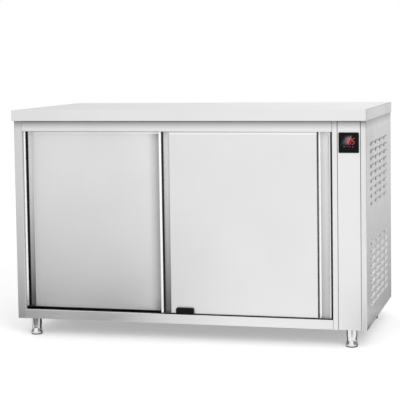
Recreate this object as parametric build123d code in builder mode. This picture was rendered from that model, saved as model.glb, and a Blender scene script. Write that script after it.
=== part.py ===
from build123d import *
import math
import os

os.makedirs("parts", exist_ok=True)

# Heated plate cabinet with two hanging sliding doors, in millimetres.
# +X runs to the right, +Y to the back and +Z up.
# The origin is on the floor, below the middle of the worktop.

# ---------------------------------------------------------------------------
# Driving sizes
# ---------------------------------------------------------------------------

# Whole cabinet
overall_width = 1330
overall_depth = 700
overall_height = 850
worktop_height = 40
front_overhang = 15
side_overhang = 3
floor_clearance = 65

# Sheet metal
panel_gauge = 1.0
worktop_gauge = 1.5
fold_radius = 2.0
fold_clearance = 1.2
seam_gap = 0.5

# Front frame
left_post_width = 31
divider_width = 19
right_flange_width = 20
control_cover_width = 81.5
post_return = 12
top_rail_height = 40
top_rail_return = 7.5
bottom_rail_height = 35
bottom_rail_return = 12.5
rail_hem = 5
sill_drop = 6
sill_fold_radius = 1.5
rear_flange = 20
edge_flange = 15

# Worktop
worktop_return = 18
board_thickness = 20
board_clearance = 1

# Louvres in the right side
louvre_length = 88
louvre_height = 13
louvre_rise = 3.0
louvre_end_slope = 4.5
louvre_top_slope = 6
louvre_corner_radius = 7
louvre_crest_radius = 3
louvre_wall = 0.9
louvre_slot_margin = 1.0
louvre_columns = 4
louvre_rows = 9
louvre_column_pitch = 117.5
louvre_row_pitch = 27
louvre_field_shift = -11.5
upper_louvres_drop = 196
lower_louvres_rise = 184

# Base and legs
base_recess = 10
base_setback = 13
leg_inset = 60
front_leg_setback = 35
rear_leg_setback = 120
leg_tube_radius = 19
leg_tube_wall = 1.5
leg_plate_width = 62
leg_plate_depth = 60
leg_plate_thickness = 3
leg_plate_lead = 19.5
leg_bolt_edge = 8
bolt_radius = 3.0
bolt_clearance = 0.2
bolt_end_allowance = 2
bolt_head_flats = 10
bolt_head_height = 4
nut_across_flats = 10
nut_height = 4
nut_bore_clearance = 0.05
foot_height = 36.5
foot_gap = 0.3
foot_base_radius = 21
foot_neck_radius = 17.6
foot_neck_height = 3.5
foot_skirt_height = 7
foot_waist_radius = 18.3
foot_waist_height = 20
foot_stud_radius = 5.95
foot_running_clearance = 0.05
foot_stud_end_gap = 1.8
foot_travel = 25
foot_pad_height = 4
foot_pad_inset = 0.5
foot_pad_round = 1
tube_end_gap = 1.5
insert_end_gap = 11.5
insert_clearance = 0.05

# Doors
door_overlap = 89
door_thickness = 30
front_door_setback = 10
door_gap = 9
door_back_gap = 5
door_bottom_gap = 3
door_top_overlap = 4
left_door_inset = 15
right_door_gap = 6.5
grip_lip = 10
grip_mouth = 28
grip_depth = 18
right_grip_lip = 7
right_grip_mouth = 42
door_skin_gauge = 1.0
door_open_remainder = 135

# Hanging gear
hanger_inset = 110
hanger_foot_length = 60
hanger_plate_length = 40
hanger_plate_height = 26
hanger_gauge = 3
hanger_foot_depth = 15
hanger_foot_setback = 2
hanger_corner_radius = 8
roller_radius = 12
roller_width = 9
roller_bore_clearance = 0.05
roller_chamfer = 0.8
roller_running_gap = 0.3
axle_radius = 3.0
axle_head_radius = 5
axle_head_length = 1.5
axle_shoulder = 3.7
track_gauge = 1.5
track_fold_radius = 2.5
track_web_gap = 5
track_ledge = 13.5
track_top_drop = 1.0
track_door_gap = 2
track_end_gap = 1
buffer_length = 12
buffer_depth = 16
buffer_setback = 3
buffer_gap = 0.5
buffer_door_gap = 12.5

# Bottom guide
guide_width = 66
guide_shift = 3
guide_base_thickness = 7.5
guide_front_height = 24
guide_middle_height = 18
guide_rear_height = 13
guide_post_thickness = 7
guide_middle_thickness = 6
guide_rear_thickness = 3
guide_corner_radius = 5.5
guide_front_setback = 1.5
guide_hem_clearance = 0.1

# Warm chamber
chamber_rail_gap = 1
chamber_back_gap = 38
chamber_floor_rise = 35
chamber_ceiling_drop = 40
liner_gauge = 1.0
liner_top_gap = 2
slab_clearance = 2

# Shelf
shelf_height = 445
shelf_fold = 25
shelf_gauge = 1.2
shelf_end_clearance = 2.5
shelf_setback = 15
shelf_back_gap = 5
shelf_rib_width = 60
shelf_rib_depth = 18
shelf_rib_pitch = 360
shelf_lift_gap = 0.3
support_width = 15
support_drop = 20
support_gauge = 1.5
support_end_gap = 20

# Air guide, heater and fan
air_guide_depth = 66
air_guide_side_gap = 20
air_guide_end_gap = 12
grille_radius = 74
grille_slot_height = 6
grille_slot_pitch = 14
grille_rows = 5
grille_edge = 8
outlet_slot_length = 80
outlet_slot_width = 8
outlet_count = 5
outlet_end_margin = 83
outlet_inset = 22
guide_pan_radius = 3
fan_height = 435
impeller_radius = 80
impeller_width = 30
impeller_blades = 14
impeller_gauge = 1.5
impeller_blade_length = 26
impeller_inlet_radius = 56
impeller_wall_gap = 18
impeller_hub_radius = 11
impeller_hub_length = 14.5
impeller_blade_angle = 28
shaft_radius = 4.0
shaft_running_clearance = 0.05
shaft_length = 84
shaft_hole_radius = 14
motor_radius = 40
motor_length = 46
motor_plate_size = 110
motor_plate_thickness = 2
motor_boss_radius = 14
motor_boss_length = 7
motor_edge_radius = 4
motor_bore_depth = 40
motor_fins = 12
motor_fin_depth = 2.5
motor_fin_width = 3
heater_ring_radius = 100
heater_tube_radius = 4.25
heater_gap_angle = 24
heater_bend_radius = 10
heater_wall_gap = 33
heater_flange_height = 24
heater_flange_width = 76
heater_flange_thickness = 3
heater_hole_clearance = 1
heater_pin_radius = 2
heater_pin_length = 14
heater_lead_length = 18

# Control side
controller_size = 72
controller_bezel = 3.5
controller_corner_radius = 3
bezel_chamfer = 0.8
controller_body_size = 67
controller_body_length = 56
controller_drop = 77.5
cutout_clearance = 0.5
lens_size = 66
lens_thickness = 1.6
lens_recess = 0.3
lens_clearance = 0.15
case_socket_count = 2
case_socket_length = 52
case_socket_width = 8
case_socket_depth = 6
case_socket_pitch = 22
terminal_block_length = 48
terminal_block_depth = 30
terminal_block_height = 26
terminal_step = 12
terminal_poles = 3
terminal_pitch = 14
terminal_well_radius = 3
terminal_well_depth = 10
terminal_block_setback = 185
terminal_block_inset = 64
thermostat_radius = 12
thermostat_height = 11
thermostat_plate = 34
thermostat_plate_gauge = 1.5
thermostat_tab_width = 6
thermostat_tab_gauge = 0.8
thermostat_tab_length = 9
thermostat_tab_spread = 5
thermostat_rise = 165

# Cable gland under the base
gland_bore_radius = 5.5
gland_thread_radius = 8
gland_hex = 22
gland_hex_height = 5
gland_dome_radius = 10
gland_dome_height = 11
gland_dome_fillet = 3
gland_nut_height = 4
gland_thread_length = 13
gland_clearance = 0.2
gland_inset = 60
gland_setback = 50

# ---------------------------------------------------------------------------
# Places worked out from the driving sizes
# ---------------------------------------------------------------------------

body_left = -overall_width / 2 + side_overhang
body_right = overall_width / 2 - side_overhang
body_front = -overall_depth / 2 + front_overhang
body_back = overall_depth / 2
body_bottom = floor_clearance
body_top = overall_height - worktop_height
body_height = body_top - body_bottom
body_depth = body_back - body_front

inner_left = body_left + panel_gauge
inner_right = body_right - panel_gauge
back_sheet = body_back - 2 * panel_gauge
base_top = body_bottom + panel_gauge + base_recess
base_front = body_front + base_setback
base_back = back_sheet - seam_gap

opening_left = body_left + left_post_width
cover_right = body_right - right_flange_width - seam_gap
cover_left = cover_right - control_cover_width
divider_right = cover_left - seam_gap
divider_left = divider_right - divider_width
cover_middle = (cover_left + cover_right) / 2
top_rail_bottom = body_top - top_rail_height
bottom_rail_top = body_bottom + bottom_rail_height
sill_top = bottom_rail_top - sill_drop

door_pitch = door_thickness + door_gap
rail_depth = front_door_setback + door_pitch + door_thickness + door_back_gap
track_front_web = front_door_setback + door_thickness + track_web_gap
track_rear_web = rail_depth

chamber_front = body_front + rail_depth + chamber_rail_gap
chamber_back = back_sheet - chamber_back_gap
chamber_depth = chamber_back - chamber_front
chamber_floor_height = body_bottom + chamber_floor_rise
chamber_ceiling_height = body_top - chamber_ceiling_drop
chamber_right = divider_left
chamber_middle_y = (chamber_front + chamber_back) / 2
liner_top = body_top - liner_top_gap
right_liner_back = chamber_right + liner_gauge
divider_sheet = divider_right - panel_gauge

right_front = body_front + front_door_setback
left_front = right_front + door_pitch
door_bottom = bottom_rail_top + door_bottom_gap
door_top = top_rail_bottom + door_top_overlap
door_height = door_top - door_bottom
left_door_left = body_left + left_door_inset
right_door_right = divider_left - right_door_gap
door_width = (right_door_right - left_door_left + door_overlap) / 2
door_travel = door_width - door_open_remainder
right_door_left = right_door_right - door_width

track_ledge_height = door_top + track_door_gap
ledge_top = track_ledge_height + track_gauge
track_top = body_top - track_top_drop
track_plate_bottom = track_top - track_gauge
roller_axis = ledge_top + roller_running_gap + roller_radius
roller_offset = hanger_foot_setback + hanger_foot_depth + axle_shoulder + roller_running_gap

air_guide_left = chamber_right - air_guide_depth
air_guide_front = chamber_front + air_guide_side_gap
air_guide_back = chamber_back - air_guide_side_gap
air_guide_bottom = chamber_floor_height + air_guide_end_gap
air_guide_top = chamber_ceiling_height - air_guide_end_gap
fan_y = chamber_middle_y
outlet_pitch = (air_guide_top - air_guide_bottom - 2 * outlet_end_margin) / (outlet_count - 1)
outlet_middle = (air_guide_top + air_guide_bottom) / 2
controller_height = body_top - controller_drop
cutout_size = controller_body_size + 2 * cutout_clearance
heater_half_gap = math.radians(heater_gap_angle / 2)
heater_leg_y = heater_ring_radius * math.sin(heater_half_gap)
heater_leg_y -= heater_bend_radius * math.cos(heater_half_gap)
heater_leg_z = fan_height - heater_ring_radius * math.cos(heater_half_gap)
heater_leg_z -= heater_bend_radius * math.sin(heater_half_gap)
heater_holes = [(fan_y - heater_leg_y, heater_leg_z), (fan_y + heater_leg_y, heater_leg_z)]

leg_places = {
    "front_left": (body_left + leg_inset, body_front + front_leg_setback),
    "front_right": (body_right - leg_inset, body_front + front_leg_setback),
    "rear_left": (body_left + leg_inset, body_back - rear_leg_setback),
    "rear_right": (body_right - leg_inset, body_back - rear_leg_setback),
}
leg_bolt_spacing_x = leg_plate_width - 2 * leg_bolt_edge
leg_bolt_spacing_y = leg_plate_depth - 2 * leg_bolt_edge
leg_plate_top = base_top - panel_gauge
leg_plate_bottom = leg_plate_top - leg_plate_thickness
leg_plate_shift = leg_plate_depth / 2 - leg_plate_lead
gland_x = body_right - gland_inset
gland_y = body_back - gland_setback
terminal_block_x = body_right - terminal_block_inset
terminal_block_y = body_back - terminal_block_setback


# ---------------------------------------------------------------------------
# Shared operations
# ---------------------------------------------------------------------------

def fold(points, radius, gauge, side=Side.LEFT):
    """Draws the edge of a sheet folded along the points, in the sketch around the call."""
    with BuildLine(mode=Mode.PRIVATE) as outline:
        FilletPolyline(*points, radius=radius)
        offset(amount=gauge, side=side)
    make_face(outline.edges())


def block(x_range, y_range, z_range, mode=Mode.ADD):
    """Fills, or cuts, the straight-sided space between three pairs of limits."""
    size = [high - low for low, high in (x_range, y_range, z_range)]
    centre = [(low + high) / 2 for low, high in (x_range, y_range, z_range)]
    with Locations(tuple(centre)):
        Box(*size, mode=mode)


def save(builder, name):
    """Names a finished piece and writes it to its own file."""
    builder.part.label = name
    export_step(builder.part, f"parts/{name}.step")


# ---------------------------------------------------------------------------
# Worktop
# ---------------------------------------------------------------------------

with BuildPart() as worktop:
    with BuildSketch(Plane.XY.offset(body_top)):
        Rectangle(overall_width, overall_depth)
    extrude(amount=worktop_height)
    fillet(worktop.edges().filter_by(Axis.Z), radius=fold_radius)
    fillet(worktop.faces().sort_by(Axis.Z)[-1].edges(), radius=fold_radius * 0.9)
    offset(amount=-worktop_gauge, openings=worktop.faces().sort_by(Axis.Z)[0])
    with BuildSketch(Plane.XY.offset(body_top)):
        Rectangle(overall_width - 2 * worktop_gauge, overall_depth - 2 * worktop_gauge)
        Rectangle(
            overall_width - 2 * worktop_return,
            overall_depth - 2 * worktop_return,
            mode=Mode.SUBTRACT,
        )
    extrude(amount=worktop_gauge)
save(worktop, "worktop")

with BuildPart() as worktop_board:
    board_inset = worktop_gauge + board_clearance
    board_top = overall_height - worktop_gauge
    with BuildSketch(Plane.XY.offset(board_top - board_thickness)):
        Rectangle(overall_width - 2 * board_inset, overall_depth - 2 * board_inset)
    extrude(amount=board_thickness)
save(worktop_board, "worktop_board")

# ---------------------------------------------------------------------------
# Outer panels
# ---------------------------------------------------------------------------

flange_start = chamber_front
flange_end = body_back - fold_radius - panel_gauge


def turn_edges(outer, inward):
    """Turns the lower and upper edge of a side panel inwards with a rounded fold."""
    for level, up in ((body_bottom, 1), (body_top, -1)):
        fold_x = sorted((outer, outer + inward * fold_radius))
        fold_z = sorted((level, level + up * fold_radius))
        block(fold_x, (flange_start, flange_end), fold_z, mode=Mode.SUBTRACT)
        turned = [
            (outer + inward * edge_flange, level),
            (outer, level),
            (outer, level + up * 2 * fold_radius),
        ]
        inner_side = Side.RIGHT if inward * up > 0 else Side.LEFT
        with BuildSketch(Plane.XZ.offset(-flange_end), mode=Mode.PRIVATE) as flange:
            fold(turned, fold_radius, panel_gauge, inner_side)
        extrude(flange.sketch, amount=flange_end - flange_start)


with BuildPart() as left_side:
    with BuildSketch(Plane.XY.offset(body_bottom)):
        left_side_line = [
            (opening_left, body_front + post_return),
            (opening_left, body_front),
            (body_left, body_front),
            (body_left, body_back),
            (body_left + rear_flange, body_back),
        ]
        fold(left_side_line, fold_radius, panel_gauge, Side.RIGHT)
    extrude(amount=body_height)
    turn_edges(body_left, 1)
save(left_side, "left_side")

# One pressed louvre, rising along Z, with its slot at -Y: the outside, then the hollow behind it
with BuildPart() as louvre_hood:
    with BuildSketch():
        hood_foot = Rectangle(louvre_length, louvre_height)
        fillet(hood_foot.vertices().group_by(Axis.Y)[-1], radius=louvre_corner_radius)
    with BuildSketch(Plane.XY.offset(louvre_rise)):
        with Locations((0, -louvre_top_slope / 2)):
            hood_crest = Rectangle(
                louvre_length - 2 * louvre_end_slope, louvre_height - louvre_top_slope
            )
        fillet(hood_crest.vertices().group_by(Axis.Y)[-1], radius=louvre_crest_radius)
    loft()

with BuildPart() as louvre_hollow:
    hollow_height = louvre_height - louvre_wall + louvre_slot_margin
    hollow_shift = (louvre_wall + louvre_slot_margin) / 2
    with BuildSketch(Plane.XY.offset(-panel_gauge)):
        with Locations((0, -hollow_shift)):
            hollow_foot = Rectangle(louvre_length - 2 * louvre_wall, hollow_height)
        fillet(
            hollow_foot.vertices().group_by(Axis.Y)[-1],
            radius=louvre_corner_radius - louvre_wall,
        )
    with BuildSketch(Plane.XY.offset(louvre_rise - panel_gauge)):
        with Locations((0, -hollow_shift - louvre_top_slope / 2)):
            hollow_crest = Rectangle(
                louvre_length - 2 * louvre_wall - 2 * louvre_end_slope,
                hollow_height - louvre_top_slope,
            )
        fillet(
            hollow_crest.vertices().group_by(Axis.Y)[-1],
            radius=louvre_crest_radius - louvre_wall,
        )
    loft()

with BuildPart() as right_side:
    with BuildSketch(Plane.XY.offset(body_bottom)):
        right_side_line = [
            (body_right - right_flange_width, body_front + post_return),
            (body_right - right_flange_width, body_front),
            (body_right, body_front),
            (body_right, body_back),
            (body_right - rear_flange, body_back),
        ]
        fold(right_side_line, fold_radius, panel_gauge, Side.LEFT)
    extrude(amount=body_height)
    turn_edges(body_right, -1)
    louvre_middle = (body_front + body_back) / 2 + louvre_field_shift
    for field_height in (body_top - upper_louvres_drop, body_bottom + lower_louvres_rise):
        outside = Plane((body_right, louvre_middle, field_height), x_dir=(0, 1, 0), z_dir=(1, 0, 0))
        with Locations(outside):
            with GridLocations(
                louvre_column_pitch, louvre_row_pitch, louvre_columns, louvre_rows
            ):
                add(louvre_hood.part)
                add(louvre_hollow.part, mode=Mode.SUBTRACT)
save(right_side, "right_side")

with BuildPart() as back_panel:
    block(
        (inner_left + fold_clearance, inner_right - fold_clearance),
        (back_sheet, back_sheet + panel_gauge),
        (body_bottom + fold_radius, body_top - fold_radius),
    )
save(back_panel, "back_panel")

with BuildPart() as base_panel:
    block(
        (inner_left + fold_clearance, inner_right - fold_clearance),
        (base_front, base_back),
        (body_bottom + panel_gauge, base_top),
    )
    fillet(base_panel.edges().filter_by(Axis.Z), radius=fold_radius)
    fillet(base_panel.faces().sort_by(Axis.Z)[-1].edges(), radius=fold_radius * 0.9)
    offset(amount=-panel_gauge, openings=base_panel.faces().sort_by(Axis.Z)[0])
    for leg_x, leg_y in leg_places.values():
        with BuildSketch(Plane.XY.offset(base_top)):
            with Locations((leg_x, leg_y + leg_plate_shift)):
                with GridLocations(leg_bolt_spacing_x, leg_bolt_spacing_y, 2, 2):
                    RegularPolygon(nut_across_flats / 2, 6, major_radius=False)
        extrude(amount=nut_height)
        with BuildSketch(Plane.XY.offset(base_top + nut_height)):
            with Locations((leg_x, leg_y + leg_plate_shift)):
                with GridLocations(leg_bolt_spacing_x, leg_bolt_spacing_y, 2, 2):
                    Circle(bolt_radius + nut_bore_clearance)
        extrude(amount=-nut_height - panel_gauge, mode=Mode.SUBTRACT)
    with BuildSketch(Plane.XY.offset(base_top)):
        with Locations((gland_x, gland_y)):
            Circle(gland_thread_radius + gland_clearance)
    extrude(amount=-panel_gauge, mode=Mode.SUBTRACT)
save(base_panel, "base_panel")

# ---------------------------------------------------------------------------
# Front frame
# ---------------------------------------------------------------------------

with BuildPart() as top_rail:
    with BuildSketch(Plane.YZ.offset(opening_left)):
        top_rail_line = [
            (body_front + top_rail_return, top_rail_bottom),
            (body_front, top_rail_bottom),
            (body_front, body_top),
            (body_front + rail_depth, body_top),
        ]
        fold(top_rail_line, fold_radius, panel_gauge, Side.RIGHT)
    extrude(amount=divider_left - opening_left)
save(top_rail, "top_rail")

with BuildPart() as bottom_rail:
    with BuildSketch(Plane.YZ.offset(opening_left)):
        bottom_rail_line = [
            (body_front + bottom_rail_return, body_bottom),
            (body_front, body_bottom),
            (body_front, bottom_rail_top),
            (body_front + rail_hem, bottom_rail_top),
            (body_front + rail_hem, sill_top),
            (body_front + rail_depth, sill_top),
        ]
        fold(bottom_rail_line, sill_fold_radius, panel_gauge, Side.RIGHT)
    extrude(amount=divider_left - opening_left)
save(bottom_rail, "bottom_rail")

with BuildPart() as divider_panel:
    with BuildSketch(Plane.XY.offset(body_bottom)):
        divider_line = [
            (divider_left, body_front + post_return),
            (divider_left, body_front),
            (divider_right, body_front),
            (divider_right, back_sheet),
        ]
        fold(divider_line, fold_radius, panel_gauge, Side.LEFT)
    extrude(amount=body_height)
    block(
        (divider_left - panel_gauge, divider_right + panel_gauge),
        (base_front, body_back),
        (body_bottom, base_top),
        mode=Mode.SUBTRACT,
    )
    with BuildSketch(Plane.YZ.offset(divider_sheet)):
        with Locations((fan_y, fan_height)):
            Circle(shaft_hole_radius)
        with Locations(*heater_holes):
            Circle(heater_tube_radius + heater_hole_clearance)
    extrude(amount=panel_gauge, mode=Mode.SUBTRACT)
save(divider_panel, "divider_panel")

with BuildPart() as control_cover:
    block(
        (cover_left, cover_right),
        (body_front, body_front + post_return),
        (body_bottom + seam_gap, body_top - seam_gap),
    )
    fillet(control_cover.edges().filter_by(Axis.Y), radius=fold_radius)
    fillet(control_cover.faces().sort_by(Axis.Y)[0].edges(), radius=fold_radius * 0.9)
    offset(amount=-panel_gauge, openings=control_cover.faces().sort_by(Axis.Y)[-1])
    with BuildSketch(Plane.XZ.offset(-body_front)):
        with Locations((cover_middle, controller_height)):
            Rectangle(cutout_size, cutout_size)
    extrude(amount=-panel_gauge, mode=Mode.SUBTRACT)
save(control_cover, "control_cover")

# ---------------------------------------------------------------------------
# Controller
# ---------------------------------------------------------------------------

with BuildPart() as controller_case:
    bezel_front = Plane.XZ.offset(controller_bezel - body_front)
    with BuildSketch(bezel_front):
        with Locations((cover_middle, controller_height)):
            RectangleRounded(controller_size, controller_size, controller_corner_radius)
    extrude(amount=-controller_bezel)
    chamfer(controller_case.faces().sort_by(Axis.Y)[0].edges(), length=bezel_chamfer)
    with BuildSketch(Plane.XZ.offset(-body_front)):
        with Locations((cover_middle, controller_height)):
            Rectangle(controller_body_size, controller_body_size)
    extrude(amount=-controller_body_length)
    with BuildSketch(bezel_front):
        with Locations((cover_middle, controller_height)):
            Rectangle(lens_size + 2 * lens_clearance, lens_size + 2 * lens_clearance)
    extrude(amount=-lens_recess - lens_thickness, mode=Mode.SUBTRACT)
    case_back = Plane.XZ.offset(-body_front - controller_body_length)
    with BuildSketch(case_back):
        with Locations((cover_middle, controller_height)):
            with GridLocations(1, case_socket_pitch, 1, case_socket_count):
                Rectangle(case_socket_length, case_socket_width)
    extrude(amount=case_socket_depth, mode=Mode.SUBTRACT)
save(controller_case, "controller_case")

with BuildPart() as controller_lens:
    with BuildSketch(Plane.XZ.offset(controller_bezel - lens_recess - body_front)):
        with Locations((cover_middle, controller_height)):
            Rectangle(lens_size, lens_size)
    extrude(amount=-lens_thickness)
save(controller_lens, "controller_lens")

# ---------------------------------------------------------------------------
# Warm chamber lining
# ---------------------------------------------------------------------------

with BuildPart() as chamber_floor:
    with BuildSketch(Plane.YZ.offset(opening_left)):
        floor_line = [
            (chamber_front, base_top + fold_radius),
            (chamber_front, chamber_floor_height),
            (chamber_back, chamber_floor_height),
        ]
        fold(floor_line, fold_radius, liner_gauge, Side.RIGHT)
    extrude(amount=chamber_right - opening_left)
save(chamber_floor, "chamber_floor")

with BuildPart() as chamber_ceiling:
    with BuildSketch(Plane.YZ.offset(opening_left)):
        ceiling_line = [
            (chamber_front, liner_top),
            (chamber_front, chamber_ceiling_height),
            (chamber_back, chamber_ceiling_height),
        ]
        fold(ceiling_line, fold_radius, liner_gauge, Side.LEFT)
    extrude(amount=chamber_right - opening_left)
save(chamber_ceiling, "chamber_ceiling")

with BuildPart() as chamber_left_wall:
    with BuildSketch(Plane.XY.offset(base_top)):
        left_wall_line = [
            (inner_left, chamber_front),
            (opening_left, chamber_front),
            (opening_left, chamber_back),
        ]
        fold(left_wall_line, fold_radius, liner_gauge, Side.LEFT)
    extrude(amount=liner_top - base_top)
save(chamber_left_wall, "chamber_left_wall")

with BuildPart() as chamber_right_wall:
    with BuildSketch(Plane.XY.offset(base_top)):
        right_wall_line = [
            (divider_sheet, chamber_front),
            (chamber_right, chamber_front),
            (chamber_right, chamber_back),
        ]
        fold(right_wall_line, fold_radius, liner_gauge, Side.RIGHT)
    extrude(amount=liner_top - base_top)
    with BuildSketch(Plane.YZ.offset(chamber_right)):
        with Locations((fan_y, fan_height)):
            Circle(shaft_hole_radius)
        with Locations(*heater_holes):
            Circle(heater_tube_radius + heater_hole_clearance)
    extrude(amount=liner_gauge, mode=Mode.SUBTRACT)
save(chamber_right_wall, "chamber_right_wall")

with BuildPart() as chamber_back_wall:
    block(
        (opening_left - liner_gauge, right_liner_back),
        (chamber_back, chamber_back + liner_gauge),
        (base_top, liner_top),
    )
save(chamber_back_wall, "chamber_back_wall")

# Insulation slabs between the lining and the outer panels
lining_left = opening_left - liner_gauge
lining_back = chamber_back + liner_gauge
slab_front = chamber_front + liner_gauge + slab_clearance
slab_ranges = {
    "insulation_left": (
        (inner_left, lining_left),
        (slab_front, chamber_back),
        (base_top, liner_top),
    ),
    "insulation_back": (
        (inner_left, divider_sheet),
        (lining_back, back_sheet),
        (base_top, liner_top),
    ),
    "insulation_top": (
        (opening_left, chamber_right),
        (slab_front, chamber_back),
        (chamber_ceiling_height + liner_gauge, liner_top),
    ),
    "insulation_floor": (
        (opening_left, chamber_right),
        (slab_front, chamber_back),
        (base_top + nut_height + slab_clearance, chamber_floor_height - liner_gauge),
    ),
    "insulation_divider": (
        (right_liner_back, divider_sheet),
        (slab_front, chamber_back),
        (base_top, liner_top),
    ),
}
for slab_name, (slab_x, slab_y, slab_z) in slab_ranges.items():
    with BuildPart() as slab:
        block(slab_x, slab_y, slab_z)
        if slab_name == "insulation_divider":
            with BuildSketch(Plane.YZ.offset(right_liner_back)):
                with Locations((fan_y, fan_height)):
                    Circle(shaft_hole_radius)
                with Locations(*heater_holes):
                    Circle(heater_tube_radius + heater_hole_clearance)
            extrude(amount=divider_sheet - right_liner_back, mode=Mode.SUBTRACT)
    save(slab, slab_name)

with BuildPart() as shelf_supports:
    support_top = shelf_height - shelf_fold - shelf_lift_gap
    for wall, inward in ((opening_left, 1), (air_guide_left, -1)):
        with BuildSketch(Plane.XZ.offset(-chamber_front - support_end_gap)):
            support_line = [
                (wall, support_top - support_drop),
                (wall, support_top),
                (wall + inward * support_width, support_top),
            ]
            support_side = Side.RIGHT if inward > 0 else Side.LEFT
            fold(support_line, fold_radius, support_gauge, support_side)
        extrude(amount=-(chamber_depth - 2 * support_end_gap))
save(shelf_supports, "shelf_supports")

# ---------------------------------------------------------------------------
# Door track, guide and buffers
# ---------------------------------------------------------------------------

with BuildPart() as door_track:
    with BuildSketch(Plane.YZ.offset(opening_left + track_end_gap)):
        track_line = [
            (body_front + track_front_web - track_ledge, track_ledge_height),
            (body_front + track_front_web, track_ledge_height),
            (body_front + track_front_web, track_plate_bottom),
            (body_front + track_rear_web - track_gauge, track_plate_bottom),
            (body_front + track_rear_web - track_gauge, ledge_top),
            (body_front + track_rear_web - track_ledge, ledge_top),
        ]
        fold(track_line, track_fold_radius, track_gauge, Side.RIGHT)
    extrude(amount=divider_left - opening_left - 2 * track_end_gap)
save(door_track, "door_track")

with BuildPart() as bottom_guide:
    guide_foot = body_front + rail_hem + sill_fold_radius + guide_hem_clearance
    guide_floor = sill_top + guide_base_thickness
    front_post = body_front + guide_front_setback
    middle_post = left_front - (door_pitch - door_thickness) / 2 - guide_middle_thickness / 2
    rear_post = body_front + rail_depth - guide_rear_thickness
    guide_outline = [
        (guide_foot, sill_top),
        (body_front + rail_depth, sill_top),
        (body_front + rail_depth, sill_top + guide_rear_height),
        (rear_post, sill_top + guide_rear_height),
        (rear_post, guide_floor),
        (middle_post + guide_middle_thickness, guide_floor),
        (middle_post + guide_middle_thickness, sill_top + guide_middle_height),
        (middle_post, sill_top + guide_middle_height),
        (middle_post, guide_floor),
        (front_post + guide_post_thickness, guide_floor),
        (front_post + guide_post_thickness, bottom_rail_top + guide_front_height),
        (front_post, bottom_rail_top + guide_front_height),
        (front_post, bottom_rail_top),
        (guide_foot, bottom_rail_top),
    ]
    guide_centre = left_door_left + door_width + guide_shift
    with BuildSketch(Plane.YZ.offset(guide_centre - guide_width / 2)):
        with BuildLine():
            Polyline(*guide_outline, close=True)
        make_face()
    extrude(amount=guide_width)
    front_corners = bottom_guide.edges().filter_by(Axis.Y).group_by(Axis.Z)[-1]
    fillet(front_corners, radius=guide_corner_radius)
save(bottom_guide, "bottom_guide")

with BuildPart() as door_buffers:
    buffer_stops = [
        (left_door_left + hanger_inset, -1, left_front, 0, track_plate_bottom),
        (left_door_left + door_width - hanger_inset, 1, left_front, door_travel, track_plate_bottom),
        (right_door_left + hanger_inset, -1, right_front, -door_travel, track_top),
        (right_door_left + door_width - hanger_inset, 1, right_front, 0, track_top),
    ]
    for hanger_x, outward, front, shift, hung_from in buffer_stops:
        near = hanger_x + shift + outward * (hanger_plate_length / 2 + buffer_gap)
        block(
            sorted((near, near + outward * buffer_length)),
            (front + buffer_setback, front + buffer_setback + buffer_depth),
            (door_top + buffer_door_gap, hung_from),
        )
save(door_buffers, "door_buffers")

# ---------------------------------------------------------------------------
# Warm air gear
# ---------------------------------------------------------------------------

with BuildPart() as air_guide:
    block(
        (air_guide_left, chamber_right),
        (air_guide_front, air_guide_back),
        (air_guide_bottom, air_guide_top),
    )
    fillet(air_guide.edges().filter_by(Axis.X), radius=guide_pan_radius)
    fillet(air_guide.faces().sort_by(Axis.X)[0].edges(), radius=guide_pan_radius * 0.9)
    offset(amount=-liner_gauge, openings=air_guide.faces().sort_by(Axis.X)[-1])
    with BuildSketch(Plane.YZ.offset(air_guide_left)):
        for row in range(-grille_rows, grille_rows + 1):
            slot_level = row * grille_slot_pitch
            half_chord = math.sqrt(grille_radius**2 - slot_level**2)
            with Locations((fan_y, fan_height + slot_level)):
                SlotOverall(2 * (half_chord + grille_edge), grille_slot_height)
        for edge in (air_guide_front + outlet_inset, air_guide_back - outlet_inset):
            with Locations((edge, outlet_middle)):
                with GridLocations(1, outlet_pitch, 1, outlet_count):
                    SlotOverall(outlet_slot_length, outlet_slot_width, rotation=90)
    extrude(amount=liner_gauge, mode=Mode.SUBTRACT)
save(air_guide, "air_guide")

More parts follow.
